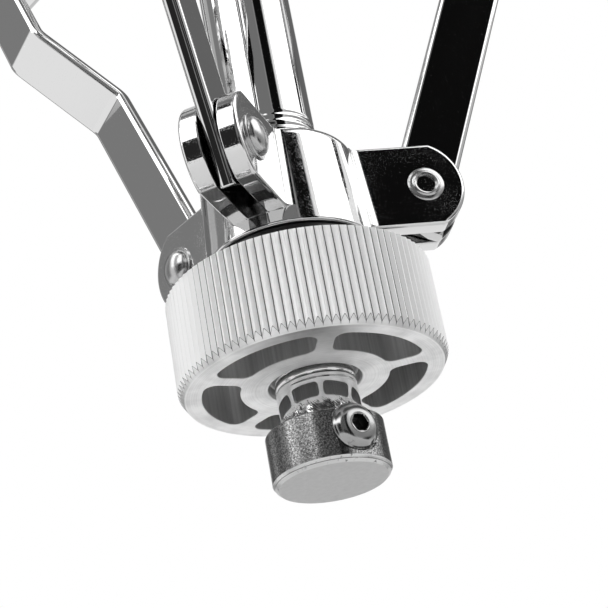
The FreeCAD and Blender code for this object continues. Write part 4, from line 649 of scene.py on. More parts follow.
def hexagon_row(flat, height):
    """One row of a hexagon that many millimetres across its flats."""
    def row(angle):
        turn = (angle % (TURN / 6)) - TURN / 12
        return flat / 2 / math.cos(turn), height
    return row


place = Matrix.Translation(outward * FLAT_REACH + Vector((0, 0, SCREW_HIGH)))
place = place @ outward.to_track_quat("Z", "Y").to_matrix().to_4x4()
bm = bmesh.new()
# The shoulder's arc starts on the rim and ends almost level with the flat ring
steepness = (HEAD_RADIUS - RIM_IN - FACE_RADIUS) / SHOULDER + math.sin(math.radians(FACE_LEAN))
shoulder = fillet((0, 0), SHOULDER, 90 - math.degrees(math.asin(steepness)), 90 - FACE_LEAN, 12)
lift = RIM_TALL + 0.1 - shoulder[0][1]
shift = HEAD_RADIUS - RIM_IN - shoulder[0][0]
rows = [(SHANK_RADIUS, SHANK_LOW)] + [(HEAD_RADIUS + beyond, height) for beyond, height in RIM_ROWS]
rows += [(radius + shift, height + lift) for radius, height in shoulder]
ring_high = rows[-1][1] + 0.06
rows += [(radius, ring_high + height) for radius, height in RAISED_ROWS]
mouth = hexagon_row(SOCKET_FLAT, ring_high - SOCKET_EASE)
floor_high = ring_high - SOCKET_DEEP
rings(bm, rows + [hexagon_row(SOCKET_FLAT + SOCKET_EASE, ring_high - 0.02), mouth], HEAD_STEPS, place=place)
# The socket's walls and floor take the dark finish, which is painted shade
rings(bm, [mouth, hexagon_row(SOCKET_FLAT, floor_high), (0, floor_high - SOCKET_TIP)], HEAD_STEPS, place=place, mark=1)
bmesh.ops.remove_doubles(bm, verts=bm.verts, dist=WELD)
settle("cap_screw_button", bm, "post", [bright_nickel, oiled_steel_painted_shade], ["cap_screw"])
print("cap screw head", HEAD_RADIUS * 2, "mm")

# %% [markdown]
# The hand nut is the piece that the photograph is about. Its rim is a ring of V grooves with broad crests,
# each with a thin slit at the bottom. A bump could fake the grooves, but not the zigzag where the plain
# bevel below cuts them off. So the grooves are real: the rim's radius depends on the angle, and the bevel's
# upper edge is a row of points whose height follows the groove's depth.

# %% Hand nut: knurl
nut_low, nut_high = reach("hand_nut")
NUT_RADIUS = nut_high.x
NUT_FACE = nut_low.z
NUT_RIM = NUT_FACE + 20.5
BEVEL_WIDE, BEVEL_TALL = 1.1, 1.8
LIP = 0.35
BURR = 0.1
TEETH = 100
KNURL_DEPTH, SLIT_DEPTH = 0.62, 0.24
# Shares of a tooth: where its points are, where flank and slit start off the groove, and how wide they are
TOOTH_SHARES = (0.0, 0.05, 0.25, 0.45, 0.485, 0.515, 0.55, 0.75, 0.95)
FLANK_FROM, FLANK_WIDE = 0.45, 0.4
SLIT_FROM, SLIT_WIDE = 0.05, 0.035


def tooth(angle):
    """Radius of the knurled rim: straight flanks, a blunt crest and a thin slit where the wheel bit deepest."""
    off_groove = abs(angle / TURN * TEETH % 1 - 0.5)
    flank = KNURL_DEPTH * min(1, max(0, (FLANK_FROM - off_groove) / FLANK_WIDE))
    slit = SLIT_DEPTH * min(1, max(0, (SLIT_FROM - off_groove) / SLIT_WIDE))
    return NUT_RADIUS - flank - slit


def bevel_row(inset):
    """A row of the lower bevel, that far in from where the bevel cuts the knurl."""
    def row(angle):
        radius = tooth(angle) - inset
        return radius, NUT_FACE + (radius - NUT_RADIUS + BEVEL_WIDE) * BEVEL_TALL / BEVEL_WIDE
    return row


def lip_row(inset):
    """A row of the small bevel at the top of the rim."""
    def row(angle):
        radius = tooth(angle) - inset
        return radius, NUT_RIM - max(0.03, radius - (NUT_RADIUS - KNURL_DEPTH)) * LIP / KNURL_DEPTH
    return row


print("knurl pitch", round(TURN * NUT_RADIUS / TEETH, 2), "mm")

# %% [markdown]
# The rest of the nut's turned parts are plain rings: the rim with its burr above and below, the boss under
# the washer, the bore for the post with the shorter threaded bore below it, and the countersink.

# %% Hand nut: rim, boss and bore
# Finishes of the nut, by their place in its list
KNURLED, TURNED, MILLED_SHADED, BURR_SHADED = range(4)
BOSS_RADIUS, BOSS_EASE = 14.0, 0.4
TUBE_GAP, RUNNING_GAP = 0.3, 0.08
SINK_RADIUS, SINK_DEEP = 9.3, 2.2
BORE_STEPS = 160
tube_bore = POST_RADIUS + TUBE_GAP
thread_bore = ROD_RADIUS + RUNNING_GAP
thread_top = NUT_FACE + 8
sink_top = NUT_FACE + SINK_DEEP
sink_wall = (SINK_RADIUS - 0.2, NUT_FACE + 0.6)

bm = bmesh.new()
angles = [(index + share) / TEETH * TURN for index in range(TEETH) for share in TOOTH_SHARES]
rim = rings(bm, [(NUT_RADIUS - BEVEL_WIDE, NUT_FACE), bevel_row(BURR)], angles, mark=TURNED)
rings(bm, [bevel_row(BURR), bevel_row(0)], angles, mark=BURR_SHADED)
rings(bm, [bevel_row(0), lip_row(0)], angles, mark=KNURLED)
# The slits take the burr's finish: dirt and painted shade lie in them
for face in bm.faces:
    if face.material_index == KNURLED and face.calc_center_median().xy.length < NUT_RADIUS - KNURL_DEPTH:
        face.material_index = BURR_SHADED
rings(bm, [lip_row(0), lip_row(BURR)], angles, mark=BURR_SHADED)
top_radius = NUT_RADIUS - KNURL_DEPTH - SLIT_DEPTH - 0.15
lip = rings(bm, [lip_row(BURR), (top_radius, NUT_RIM)], angles, mark=TURNED)
core = rings(bm, [(BOSS_RADIUS, NUT_RIM), (BOSS_RADIUS, nut_high.z - BOSS_EASE), (BOSS_RADIUS - BOSS_EASE, nut_high.z),
                  (tube_bore, nut_high.z), (tube_bore, thread_top), (thread_bore, thread_top),
                  (thread_bore, sink_top + 0.5), (ROD_RADIUS + 0.4, sink_top), (SINK_RADIUS - 0.5, sink_top - 0.3),
                  sink_wall], BORE_STEPS, mark=MILLED_SHADED)
sink = rings(bm, [sink_wall, (SINK_RADIUS, NUT_FACE + 0.12), (SINK_RADIUS + 0.2, NUT_FACE)], BORE_STEPS, mark=TURNED)
print("rim and core", len(bm.faces), "faces")

# %% [markdown]
# Five windows go through the nut between five spokes. Holes in a face can't be made of rings, and a boolean
# would cut the face into slivers. So each window's walls are skinned from its outline, with a small eased
# edge, and Blender fills each face of the nut between the loops that bound it.

# %% Hand nut: windows
WINDOWS = 5
WINDOW_AZIMUTH = math.radians(15)
WINDOW_IN, WINDOW_OUT = 14.7, 22.1
WINDOW_ROUND = 2.2
SPOKE_WIDE = 3.3
EDGE = 0.22


def loft(bm, outlines, place, marks=None, ends=True):
    """Skins a stack of outlines, each a list of (x, y, height). Marks are the finish of each band."""
    rows = [[bm.verts.new(place @ Vector(point)) for point in outline] for outline in outlines]
    for band, (lower, upper) in enumerate(zip(rows, rows[1:])):
        for near in range(len(lower)):
            far = (near + 1) % len(lower)
            face = bm.faces.new([lower[near], lower[far], upper[far], upper[near]])
            face.material_index = marks[band] if marks else 0
    if ends:
        bm.faces.new(rows[0])
        bm.faces.new(rows[-1])
    return rows


def window(grow):
    """Outline of the window that the X axis goes through, made larger by a margin."""
    half, bow = SPOKE_WIDE / 2 - grow, WINDOW_ROUND + grow
    spoke = 180 / WINDOWS
    points = []
    for radius, sign in ((WINDOW_OUT + grow, 1), (WINDOW_IN - grow, -1)):
        centre = radius - sign * bow
        corner = spoke - math.degrees(math.asin((half + bow) / centre))
        left, right = fillet((0, 0), centre, corner, -corner, 1)
        edge = fillet((0, 0), radius, -corner, corner, 40)[1:-1]
        if sign > 0:
            points += fillet(right, bow, -spoke - 90, -corner, 10) + edge + fillet(left, bow, corner, spoke + 90, 10)
        else:
            points += fillet(left, bow, spoke + 90, corner + 180, 10) + edge[::-1]
            points += fillet(right, bow, 180 - corner, 270 - spoke, 10)
    return points


def loop_edges(bm, ring):
    """Edges round a closed ring of points, made where they are missing."""
    return [bm.edges.get(pair) or bm.edges.new(pair) for pair in zip(ring, ring[1:] + ring[:1])]


faces = {"lower": loop_edges(bm, rim[0]) + loop_edges(bm, sink[-1]),
         "upper": loop_edges(bm, lip[1]) + loop_edges(bm, core[0])}
profile = [(EDGE, NUT_FACE), (EDGE * 0.3, NUT_FACE + EDGE * 0.3), (0, NUT_FACE + EDGE), (0, NUT_RIM - EDGE),
           (EDGE, NUT_RIM)]
outlines = [[(x, y, height) for x, y in window(grow)] for grow, height in profile]
for index in range(WINDOWS):
    spin = Matrix.Rotation(WINDOW_AZIMUTH + TURN * index / WINDOWS, 4, "Z")
    walls = loft(bm, outlines, spin, marks=(TURNED, TURNED, MILLED_SHADED, TURNED), ends=False)
    faces["lower"] += loop_edges(bm, walls[0])
    faces["upper"] += loop_edges(bm, walls[-1])
for level, edges in faces.items():
    filled = bmesh.ops.triangle_fill(bm, use_beauty=True, use_dissolve=False, edges=edges)
    for face in filled["geom"]:
        if isinstance(face, bmesh.types.BMFace):
            # The upper face, under the washer, takes the milled finish with its painted shade
            face.material_index = TURNED if level == "lower" else MILLED_SHADED
bmesh.ops.remove_doubles(bm, verts=bm.verts, dist=WELD)
print("nut faces", len(bm.faces))
settle("hand_nut_knurled", bm, "nut", [knurled_aluminium, turned_aluminium, milled_aluminium_painted_shade, burr_aluminium_painted_shade],
       ["hand_nut"])

# %% [markdown]
# A black nylon washer lets the nut turn under the hub. It is a plain ring with rounded edges. A cylinder
# with a bevel modifier would do, but the rings take their sizes straight from the CAD node.

# %% Hub washer
ring_low, ring_high = reach("hub_washer")
EASE, WASHER_STEPS = 0.5, 128
bm = bmesh.new()
rows = fillet((ring_high.x - EASE, ring_low.z + EASE), EASE, -90, 0, 5)
rows += fillet((ring_high.x - EASE, ring_high.z - EASE), EASE, 0, 90, 5)
rows += [(tube_bore, ring_high.z), (tube_bore, ring_low.z)]
rings(bm, rows, WASHER_STEPS, closed=True)
settle("hub_washer_ring", bm, "hub", [black_nylon], ["hub_washer"])
print("washer", round(ring_high.x * 2, 1), "mm")

# %% [markdown]
# The lower hub is a casting: a tapered ring with three lugs, each of two ears that hold a link. What the
# eye reads in the chrome is its edges: a broad round on top of the ring, a small round on each ear, and a
# hollow fillet where an ear leaves the ring, which throws a bright stripe beside the dark ear. A bevel
# modifier stumbles where these meet, so each shape is drawn with its own rounds, and they overlap.

# %% Lower hub: ring and ears
PIVOT = pivot("link_1_swing")
HUB_LOW_RADIUS, HUB_HIGH_RADIUS = 17.3, 15.9
HUB_BORE = POST_RADIUS + RUNNING_GAP
HUB_ROUND, FOOT_ROUND = 2.8, 0.7
TAPER_STEPS, HUB_STEPS = 8, 256
EAR_IN, EAR_OUT = 1.95, 6.0
EAR_LOW, EAR_HIGH = 50.4, 69.2
EAR_ROOT, EAR_REACH = 13.0, hub_high.x
EAR_END = 10.5
EAR_ROUND, SLOT_ROUND = 0.8, 0.35


def hub_radius(height):
    """Outside of the tapered ring at a height."""
    share = (height - hub_low.z) / (hub_high.z - hub_low.z)
    return HUB_LOW_RADIUS + (HUB_HIGH_RADIUS - HUB_LOW_RADIUS) * share


def ear_outline(inset, aside):
    """Side view of an ear, pulled in all round: straight edges out from the hub and a round end."""
    half, bow = (EAR_HIGH - EAR_LOW) / 2 - inset, EAR_END - inset
    lean = math.degrees(math.asin(half / bow))
    middle = (EAR_HIGH + EAR_LOW) / 2
    end = fillet((EAR_REACH - EAR_END, middle), bow, -lean, lean, 32)
    return [(x, y, aside) for x, y in [(EAR_ROOT, middle - half)] + end + [(EAR_ROOT, middle + half)]]


bm = bmesh.new()
taper_low, taper_high = hub_low.z + FOOT_ROUND, hub_high.z - HUB_ROUND
foot = fillet((HUB_LOW_RADIUS - FOOT_ROUND, taper_low), FOOT_ROUND, -90, 0, 5)
heights = [taper_low + (taper_high - taper_low) * step / TAPER_STEPS for step in range(1, TAPER_STEPS)]
taper = [(hub_radius(height), height) for height in heights]
top = fillet((hub_radius(taper_high) - HUB_ROUND, taper_high), HUB_ROUND, 4, 90, 12)
rings(bm, foot + taper + top + [(HUB_BORE, hub_high.z), (HUB_BORE, hub_low.z)], HUB_STEPS, closed=True)
# An ear's thickness as insets: a small round at the slot and a larger one outside
ear = fillet((SLOT_ROUND, EAR_IN + SLOT_ROUND), SLOT_ROUND, 270, 180, 4)
ear += fillet((EAR_ROUND, EAR_OUT - EAR_ROUND), EAR_ROUND, 180, 90, 8)
print("hub ring", len(bm.faces), "faces")

# %% [markdown]
# Each lug then gets its two ears, the web between them at the slot's root, and the two fillets. A fillet
# is a prism with one hollow side, which touches the ring and the ear. The faces inside the slot take the
# thin plate, whose dark grey is painted shade.

# %% Lower hub: lugs
SLOT_ROOT = 17.2
WEB_LAP = 0.5
HOLLOW = 2.6
HOLLOW_EASE = 0.5
NEAR = 0.1
# A side view lies in the XZ plane and is extruded along Y
tip_up = Matrix(((1, 0, 0, 0), (0, 0, 1, 0), (0, 1, 0, 0), (0, 0, 0, 1)))
web = [(EAR_ROOT, EAR_LOW), (SLOT_ROOT, EAR_LOW), (SLOT_ROOT, EAR_HIGH), (EAR_ROOT, EAR_HIGH)]
hollows = []
for height in (EAR_LOW + HOLLOW_EASE, EAR_HIGH - HOLLOW_EASE):
    radius = hub_radius(height)
    centre = (math.sqrt((radius + HOLLOW) ** 2 - (EAR_OUT + HOLLOW) ** 2), EAR_OUT + HOLLOW)
    first = math.degrees(math.atan2(-centre[1], -centre[0]))
    corners = fillet(centre, HOLLOW, first, -90, 10) + [(centre[0], EAR_OUT - 1.0), (radius - 3.0, EAR_OUT - 1.0)]
    hollows.append([(x, y, height) for x, y in corners])
for azimuth in ARMS.values():
    spin = Matrix.Rotation(math.radians(azimuth), 4, "Z")
    for sign in (1, -1):
        loft(bm, [ear_outline(inset, sign * aside) for inset, aside in ear], spin @ tip_up)
    loft(bm, [[(x, y, aside) for x, y in web] for aside in (-EAR_IN - WEB_LAP, EAR_IN + WEB_LAP)], spin @ tip_up)
    for face in bm.faces:
        middle = spin.inverted() @ face.calc_center_median()
        if middle.x > SLOT_ROOT - NEAR and abs(middle.y) < EAR_IN + NEAR:
            # Faces inside the slot get the thin plate with its painted shade
            face.material_index = 1
    for sign in (1, -1):
        loft(bm, [[(x, sign * y, height) for x, y, height in row] for row in hollows], spin)
print("hub faces", len(bm.faces))
settle("lower_hub_cast", bm, "hub", [chrome_casting, thin_chrome_painted_shade], ["lower_hub"])

# %% [markdown]
# Each link turns on a hollow rivet: a domed head with a thin flange on one side, and an end that was spread
# like a flower on the other. Both are turned shapes, so the same rings draw them along the rivet's own axis.

# %% Hub rivets
RIVET_RADIUS, RIVET_HEAD = 2.5, 3.8
DOME_RADIUS, DOME_HIGH = 3.9, 2.5
FLANGE_RADIUS, FLANGE_TALL = 4.6, 0.42
DOME_STEPS, RIVET_STEPS = 14, 64
# The spread end: radius, and height above the ear's outer face. The first four rows are the hollow
SPREAD = [(0, -1.0), (1.2, -0.85), (1.75, -0.45), (1.95, 0.2), (2.15, 0.6), (2.45, 0.72), (2.75, 0.62),
          (2.95, 0.4), (3.05, 0.38), (3.5, 0.3), (RIVET_HEAD, 0.08), (RIVET_HEAD - 0.1, -0.1)]
HOLLOW_ROWS = 4
spread = [(radius, -EAR_OUT - height) for radius, height in SPREAD]
dome = [(FLANGE_RADIUS, EAR_OUT - 0.05), (FLANGE_RADIUS, EAR_OUT + 0.25), (FLANGE_RADIUS - 0.12, EAR_OUT + 0.38),
        (DOME_RADIUS + 0.15, EAR_OUT + FLANGE_TALL)]
dome += [(DOME_RADIUS * math.cos(bow), EAR_OUT + FLANGE_TALL + (DOME_HIGH - FLANGE_TALL) * math.sin(bow))
         for bow in [TURN / 4 * step / DOME_STEPS for step in range(DOME_STEPS)]]
rows = spread[HOLLOW_ROWS - 1:] + [(RIVET_RADIUS, -EAR_OUT + 0.1), (RIVET_RADIUS, EAR_OUT - 0.1)]
rows += dome + [(0, EAR_OUT + DOME_HIGH)]
lie = Matrix.Translation((PIVOT.x, 0, PIVOT.z)) @ Matrix.Rotation(-TURN / 4, 4, "X")
bm = bmesh.new()
for azimuth in ARMS.values():
    spin = Matrix.Rotation(math.radians(azimuth), 4, "Z")
    rings(bm, rows, RIVET_STEPS, place=spin @ lie)
    # The spread end's hollow takes the dark finish, which is painted shade
    rings(bm, spread[:HOLLOW_ROWS], RIVET_STEPS, place=spin @ lie, mark=1)
bmesh.ops.remove_doubles(bm, verts=bm.verts, dist=WELD)
settle("hub_rivets_spread", bm, "hub", [tumbled_nickel, oiled_steel_painted_shade], ["hub_rivets"])
print("rivet flange", FLANGE_RADIUS * 2, "mm")

# %% [markdown]
# A link is a strip of steel, sheared to length, pressed into a sidestep and plated. Shearing and tumbling
# rounded its long edges. A curve with a bevel could carry the section along, but easing its ends takes a
# second curve, so the rounded rectangle is set square to a bent line at each station and skinned.

# %% Links
LINK_WIDE, LINK_THICK, LINK_EDGE = 12.8, 3.3, 1.2
LINK_LEAN = math.radians(23.4)
LINK_SPAN = (pivot("arm_1_swing").z - PIVOT.z) / math.cos(LINK_LEAN)
LINK_TAIL, LINK_HEAD = 8.0, 9.0
STEP_FROM, STEP_TO, STEP_ASIDE = 60.4, 80.6, 16.2
BEND, BEND_STEPS = 5.0, 8
END_EASE = 0.35


def rounded_section(wide, thick, edge):
    """Corners of a rounded rectangle, anticlockwise."""
    points = []
    for x, y, first in ((1, 1, 0), (-1, 1, 90), (-1, -1, 180), (1, -1, 270)):
        points += fillet((x * (wide / 2 - edge), y * (thick / 2 - edge)), edge, first, first + 90, 5)
    return points


def bent_line(corners, bend):
    """Points and headings along a line whose inner corners are rounded."""
    line = [(corners[0], (corners[1] - corners[0]).normalized())]
    for before, corner, after in zip(corners, corners[1:], corners[2:]):
        inward, onward = (corner - before).normalized(), (after - corner).normalized()
        setback = bend * math.tan(inward.angle(onward) / 2)
        first, last = corner - inward * setback, corner + onward * setback
        for share in [step / BEND_STEPS for step in range(BEND_STEPS + 1)]:
            curve = first.lerp(corner, share).lerp(corner.lerp(last, share), share)
            line.append((curve, inward.lerp(onward, share).normalized()))
    return line + [(corners[-1], (corners[-1] - corners[-2]).normalized())]


path = bent_line([Vector((0, -LINK_TAIL)), Vector((0, STEP_FROM)), Vector((STEP_ASIDE, STEP_TO)),
                  Vector((STEP_ASIDE, LINK_SPAN + LINK_HEAD))], BEND)
(lower, rising), (upper, leaving) = path[0], path[-1]
# Both ends are eased: the section shrinks a little over the last bit of the strip
stations = [(lower, rising, END_EASE), (lower + rising * END_EASE * 0.3, rising, END_EASE * 0.3),
            (lower + rising * END_EASE, rising, 0)]
stations += [(point, heading, 0) for point, heading in path[1:-1]]
stations += [(upper - leaving * END_EASE, leaving, 0), (upper, leaving, END_EASE)]
strip = []
for point, heading, shrink in stations:
    section = rounded_section(LINK_WIDE - 2 * shrink, LINK_THICK - 2 * shrink, LINK_EDGE - shrink)
    # Across the strip is X; the strip's thickness lies square to its heading in the YZ plane
    strip.append([(across, point.x + through * heading.y, point.y - through * heading.x)
                  for across, through in section])
for index, azimuth in ARMS.items():
    bm = bmesh.new()
    seat = Matrix.Rotation(math.radians(azimuth), 4, "Z") @ Matrix.Translation((PIVOT.x, 0, PIVOT.z))
    loft(bm, strip, seat @ Matrix.Rotation(LINK_LEAN, 4, "Y"))
    settle(f"link_{index}_pressed", bm, f"link_{index}", [chrome_steel], [f"link_{index}"])
print("link span", round(LINK_SPAN, 2), "mm")

# %% [markdown]
# The rubber grips hold the drum. They are sleeves pushed over the upturned arms: a lip at the open end,
# ribs for grip and a domed tip. The ribs are wide enough to show in the outline, so they are in the mesh:
# the section is a circle whose radius changes along the arm.

# %% Rubber grips
ARM_HINGE = pivot("arm_1_swing")
ARM_REACH = 205.0 - ARM_HINGE.x
ARM_BEND, ARM_RISE = 30.0, 32.0
ARM_ARC = ARM_BEND * TURN / 4
GRIP_RADIUS, TUBE_RADIUS = 11.53, 7.95
GRIP_RUN, GRIP_CAP = 36.0, 4.5
GRIP_LONG = GRIP_RUN + ARM_ARC + ARM_RISE + GRIP_CAP
LIP_LONG, LIP_EASE = 4, 0.5
TIP_LONG, TIP_FLAT, PLAIN_END = 5, 5, 9
RIB_PITCH, RIB_DEPTH, RIB_STEEP = 5.2, 0.8, 5.5
GRIP_STEP, GRIP_SIDES = 0.65, 40


def arm_point(along):
    """Place and heading on the arm's centre line, measured from where the grip starts."""
    if along < GRIP_RUN:
        return Vector((ARM_REACH - ARM_BEND - GRIP_RUN + along, 0, 0)), Vector((1, 0, 0))
    if along < GRIP_RUN + ARM_ARC:
        turn = (along - GRIP_RUN) / ARM_BEND
        spot = Vector((ARM_REACH - ARM_BEND + ARM_BEND * math.sin(turn), 0, ARM_BEND - ARM_BEND * math.cos(turn)))
        return spot, Vector((math.cos(turn), 0, math.sin(turn)))
    return Vector((ARM_REACH, 0, ARM_BEND + along - GRIP_RUN - ARM_ARC)), Vector((0, 0, 1))


def grip_radius(along):
    """Outside of the grip: a lip, ribs with round crests, and a plain domed tip."""
    left = GRIP_LONG - along
    if left <= 0:
        return 0.0
    if left < TIP_LONG:
        bow = math.sqrt(max(0, 1 - ((TIP_LONG - left) / TIP_LONG) ** 2))
        return TIP_FLAT + bow * (GRIP_RADIUS - TIP_FLAT)
    if along < LIP_LONG or left < PLAIN_END:
        return GRIP_RADIUS - LIP_EASE * max(0, 1 - along) ** 2
    share = (along - LIP_LONG) / RIB_PITCH % 1
    return GRIP_RADIUS - RIB_DEPTH * max(0, 1 - abs(share - 0.5) * RIB_STEEP)


count = round(GRIP_LONG / GRIP_STEP)
stations = [GRIP_LONG * step / count for step in range(count + 1)]
sleeve = []
for along, radius in [(0.0, TUBE_RADIUS)] + [(along, grip_radius(along)) for along in stations]:
    spot, heading = arm_point(along)
    aside = Vector((0, 1, 0))
    third = heading.cross(aside)
    turns = [TURN * side / GRIP_SIDES for side in range(GRIP_SIDES)]
    sleeve.append([spot + radius * (aside * math.cos(turn) + third * math.sin(turn)) for turn in turns])
for index, azimuth in ARMS.items():
    bm = bmesh.new()
    seat = Matrix.Rotation(math.radians(azimuth), 4, "Z") @ Matrix.Translation((ARM_HINGE.x, 0, ARM_HINGE.z))
    loft(bm, sleeve, seat)
    # The last outline has no width, so its points become one
    bmesh.ops.remove_doubles(bm, verts=bm.verts, dist=WELD)
    settle(f"grip_{index}_ribbed", bm, f"arm_{index}", [moulded_rubber], [f"grip_{index}"])
print("grip length", round(GRIP_LONG, 1), "mm")

# %% [markdown]
# The feet are moulded rubber shoes on the ends of the legs: long, round at both ends, with a tread of
# grooves round the lower part, a broad round above and a slightly crowned top. A foot is a stack of
# outlines, each pulled in by an inset, so a groove is only three rows with a larger inset.

# %% Rubber feet
FOOT_LONG, FOOT_WIDE, FOOT_TALL = 39.96, 26.96, 24.0
FOOT_TOP, FOOT_CROWN = 4.0, 0.6
GROOVES, GROOVE_LOW, GROOVE_PITCH = 3, 3.0, 3.2
GROOVE_DEPTH, GROOVE_STEP = 0.9, 0.35
# A groove's rows, as shares of its depth
GROOVE_SHARES = (0.0, 0.8, 1.0, 0.8, 0.0)
ROUND_STEPS = 16


def stadium(inset):
    """Outline of a foot seen from above, pulled in by an inset."""
    right = fillet(((FOOT_LONG - FOOT_WIDE) / 2, 0), FOOT_WIDE / 2 - inset, -90, 90, ROUND_STEPS)
    return right + [(-x, -y) for x, y in right]


# Inset and height of each outline, from the eased lower edge to the crowned top
foot_rows = [(3.5, 0.4), (2.2, 0.0), (0.8, 0.0), (0.25, 0.25), (0.0, 0.8)]
for groove in range(GROOVES):
    low = GROOVE_LOW + GROOVE_PITCH * groove
    foot_rows += [(GROOVE_DEPTH * share, low + GROOVE_STEP * step) for step, share in enumerate(GROOVE_SHARES)]
foot_rows += [(FOOT_TOP - x, z) for x, z in fillet((0, FOOT_TALL - FOOT_TOP - FOOT_CROWN), FOOT_TOP, 0, 90, 8)]
foot_rows += [(FOOT_TOP + 3.0, FOOT_TALL - 0.25), (FOOT_TOP + 6.0, FOOT_TALL - 0.05)]
shoe = [[(x, y, height) for x, y in stadium(inset)] for inset, height in foot_rows]
for index, azimuth in LEGS.items():
    lower, upper = reach(f"foot_{index}")
    centre = (lower + upper) / 2
    bm = bmesh.new()
    loft(bm, shoe, Matrix.Translation((centre.x, centre.y, lower.z)) @ Matrix.Rotation(math.radians(azimuth), 4, "Z"))
    settle(f"foot_{index}_moulded", bm, f"leg_{index}", [moulded_rubber], [f"foot_{index}"])
print("foot", FOOT_LONG, "x", FOOT_WIDE, "x", FOOT_TALL, "mm")

# %% [markdown]
# The other castings and screws have the right shape in CAD but razor edges, and a mirror shows every
# edge. Redrawing them would only repeat CAD. So each is copied, its flat faces are joined up, and its
# sharp edges are rounded.

# %% Rounded castings and fasteners
# Width of the rounded edge of each node, in millimetres
ROUNDINGS = {
    "brace_collar": 0.7, "leg_collar": 0.7, "height_clamp": 0.8, "memory_lock": 0.8, "tilter_base": 0.9,
    "tilter_arm": 0.9, "upper_hub": 0.7, "leg_collar_wing_screw": 0.9, "height_wing_bolt": 0.9,
    "tilt_wing_nut": 0.9, "eye_wing_screw": 0.9, "memory_lock_screw": 0.5, "tilt_bolt": 0.5,
}
for group in ("leg", "brace"):
    ROUNDINGS.update({f"{group}_{index}": 0.6 for index in LEGS})
ROUNDINGS.update({f"arm_knuckle_{index}": 0.5 for index in ARMS})
BODY_OF = {name: body for body, names in record["behaviour"]["bodies"].items() for name in names}
SLOT_OF = {part["node"]: part["material_slot"] for part in record["subparts"]}
# Edges that turn by more are rounded; faces that differ by less are one face
EDGE_TURN, FLAT_TURN = math.radians(40), math.radians(0.4)
CAD_WELD = 0.002
for name, width in ROUNDINGS.items():
    bm = bmesh.new()
    bm.from_mesh(frame["nodes"][name].data)
    bmesh.ops.transform(bm, matrix=Matrix.Scale(1 / MM, 4) @ Matrix.Translation(-POST), verts=bm.verts)
    bmesh.ops.remove_doubles(bm, verts=bm.verts, dist=CAD_WELD)
    bmesh.ops.dissolve_limit(bm, angle_limit=FLAT_TURN, verts=bm.verts, edges=bm.edges)
    edges = [edge for edge in bm.edges if len(edge.link_faces) == 2 and edge.calc_face_angle() > EDGE_TURN]
    bmesh.ops.bevel(bm, geom=edges, offset=width, segments=3, profile=0.5, affect="EDGES", clamp_overlap=True,
                    loop_slide=True)
    slot = SLOT_OF.get(name, "chrome_casting")
    settle(f"{name}_rounded", bm, BODY_OF[name], [FINISHES[slot]], [name])
print("rounded", len(ROUNDINGS), "pieces")

# %% [markdown]
# Tubes, pins and plugs are right as CAD made them, because their edges are hidden or round already. They
# keep their meshes and only change their finish.

# %% Finishes of the nodes that stay
for name, thing in frame["nodes"].items():
    if not thing.hide_render:
        thing.data.materials.clear()
        thing.data.materials.append(FINISHES[SLOT_OF.get(name, "chrome_steel")])
print("kept", sum(not thing.hide_render for thing in frame["nodes"].values()), "nodes of CAD")

# %% [markdown]
# The camera stands below the basket and looks up at it, as in the photograph. Its place was found from
# the turned parts: circles of known size show as ellipses, and only one camera sees them all like that.

# %% Camera
# In millimetres from the frame's origin
CAMERA_AT = Vector((24.06, -288.61, 226.05))
CAMERA_LOOKS = Vector((0.20289, 0.87881, 0.43189))
CAMERA_UP = Vector((0.08464, -0.45515, 0.88638))
FOCAL_PIXELS, IMAGE_PIXELS, SENSOR = 1659.8, 608, 36.0
lens = bpy.data.cameras.new("camera")
lens.sensor_width = SENSOR
lens.lens = FOCAL_PIXELS * SENSOR / IMAGE_PIXELS
lens.clip_start = 0.01
camera = bpy.data.objects.new("camera", lens)
bpy.context.scene.collection.objects.link(camera)
axes = Matrix((CAMERA_LOOKS.cross(CAMERA_UP), CAMERA_UP, -CAMERA_LOOKS)).transposed()
camera.matrix_world = Matrix.Translation(CAMERA_AT * MM) @ axes.to_4x4()
bpy.context.scene.camera = camera
print("lens", round(lens.lens, 1), "mm")

# %% [markdown]
# Chrome is only as good as what it mirrors. The studio is white all round, with a few dark and grey panels
# where the photograph's reflections say they stood: a black flag in front, greys behind. Four low dark
# cards give the chrome an edge against the white floor when it is seen from other sides. A picture of a
# studio would be a file to load, so each panel is a range of compass direction and height with soft
# borders. The camera itself sees pure white.

# %% Studio
# Name: direction from, to, height from, to (degrees), softness (degrees), shade
PANELS = {
    "back grey": (96, 127, 0, 90, 4, "#747474"),
    "back left pale grey": (127, 143, 0, 90, 4, "#BABABA"),
    "back left grey": (143, 166, 0, 90, 4, "#888888"),
    "back right grey": (17, 62, 0, 90, 4, "#6C6C6C"),
    "back pale grey": (62, 96, 0, 90, 4, "#D2D2D2"),
    "left horizon": (-158, -122, -27, 24, 5, "#2A2A2A"),
    "right horizon": (-60, 15, -15, 16, 8, "#B0B0B0"),
    "front grey": (-122, -82, -25, 75, 2, "#7C7C7C"),
    "front black": (-82, -60, -25, 75, 2, "#0F0F0F"),
    "ceiling": (-181, 181, 70, 91, 6, "#787878"),
    "low front card": (-112, -84, -70, -6, 4, "#2C2C2C"),
    "low right card": (-36, -8, -70, -6, 4, "#3A3A3A"),
    "low back right card": (22, 48, -70, -6, 4, "#2C2C2C"),
    "low back left card": (104, 128, -70, -6, 4, "#2C2C2C"),
}
WHITE = linear("#FFFFFF")
world = bpy.data.worlds.new("studio")
bpy.context.scene.world = world
world.use_nodes = True
tree = world.node_tree
tree.nodes.clear()
way = add(tree, "ShaderNodeSeparateXYZ", {0: add(tree, "ShaderNodeTexCoord").outputs["Generated"]})
compass = add(tree, "ShaderNodeMath", {0: way.outputs["Y"], 1: way.outputs["X"]}, operation="ARCTAN2")
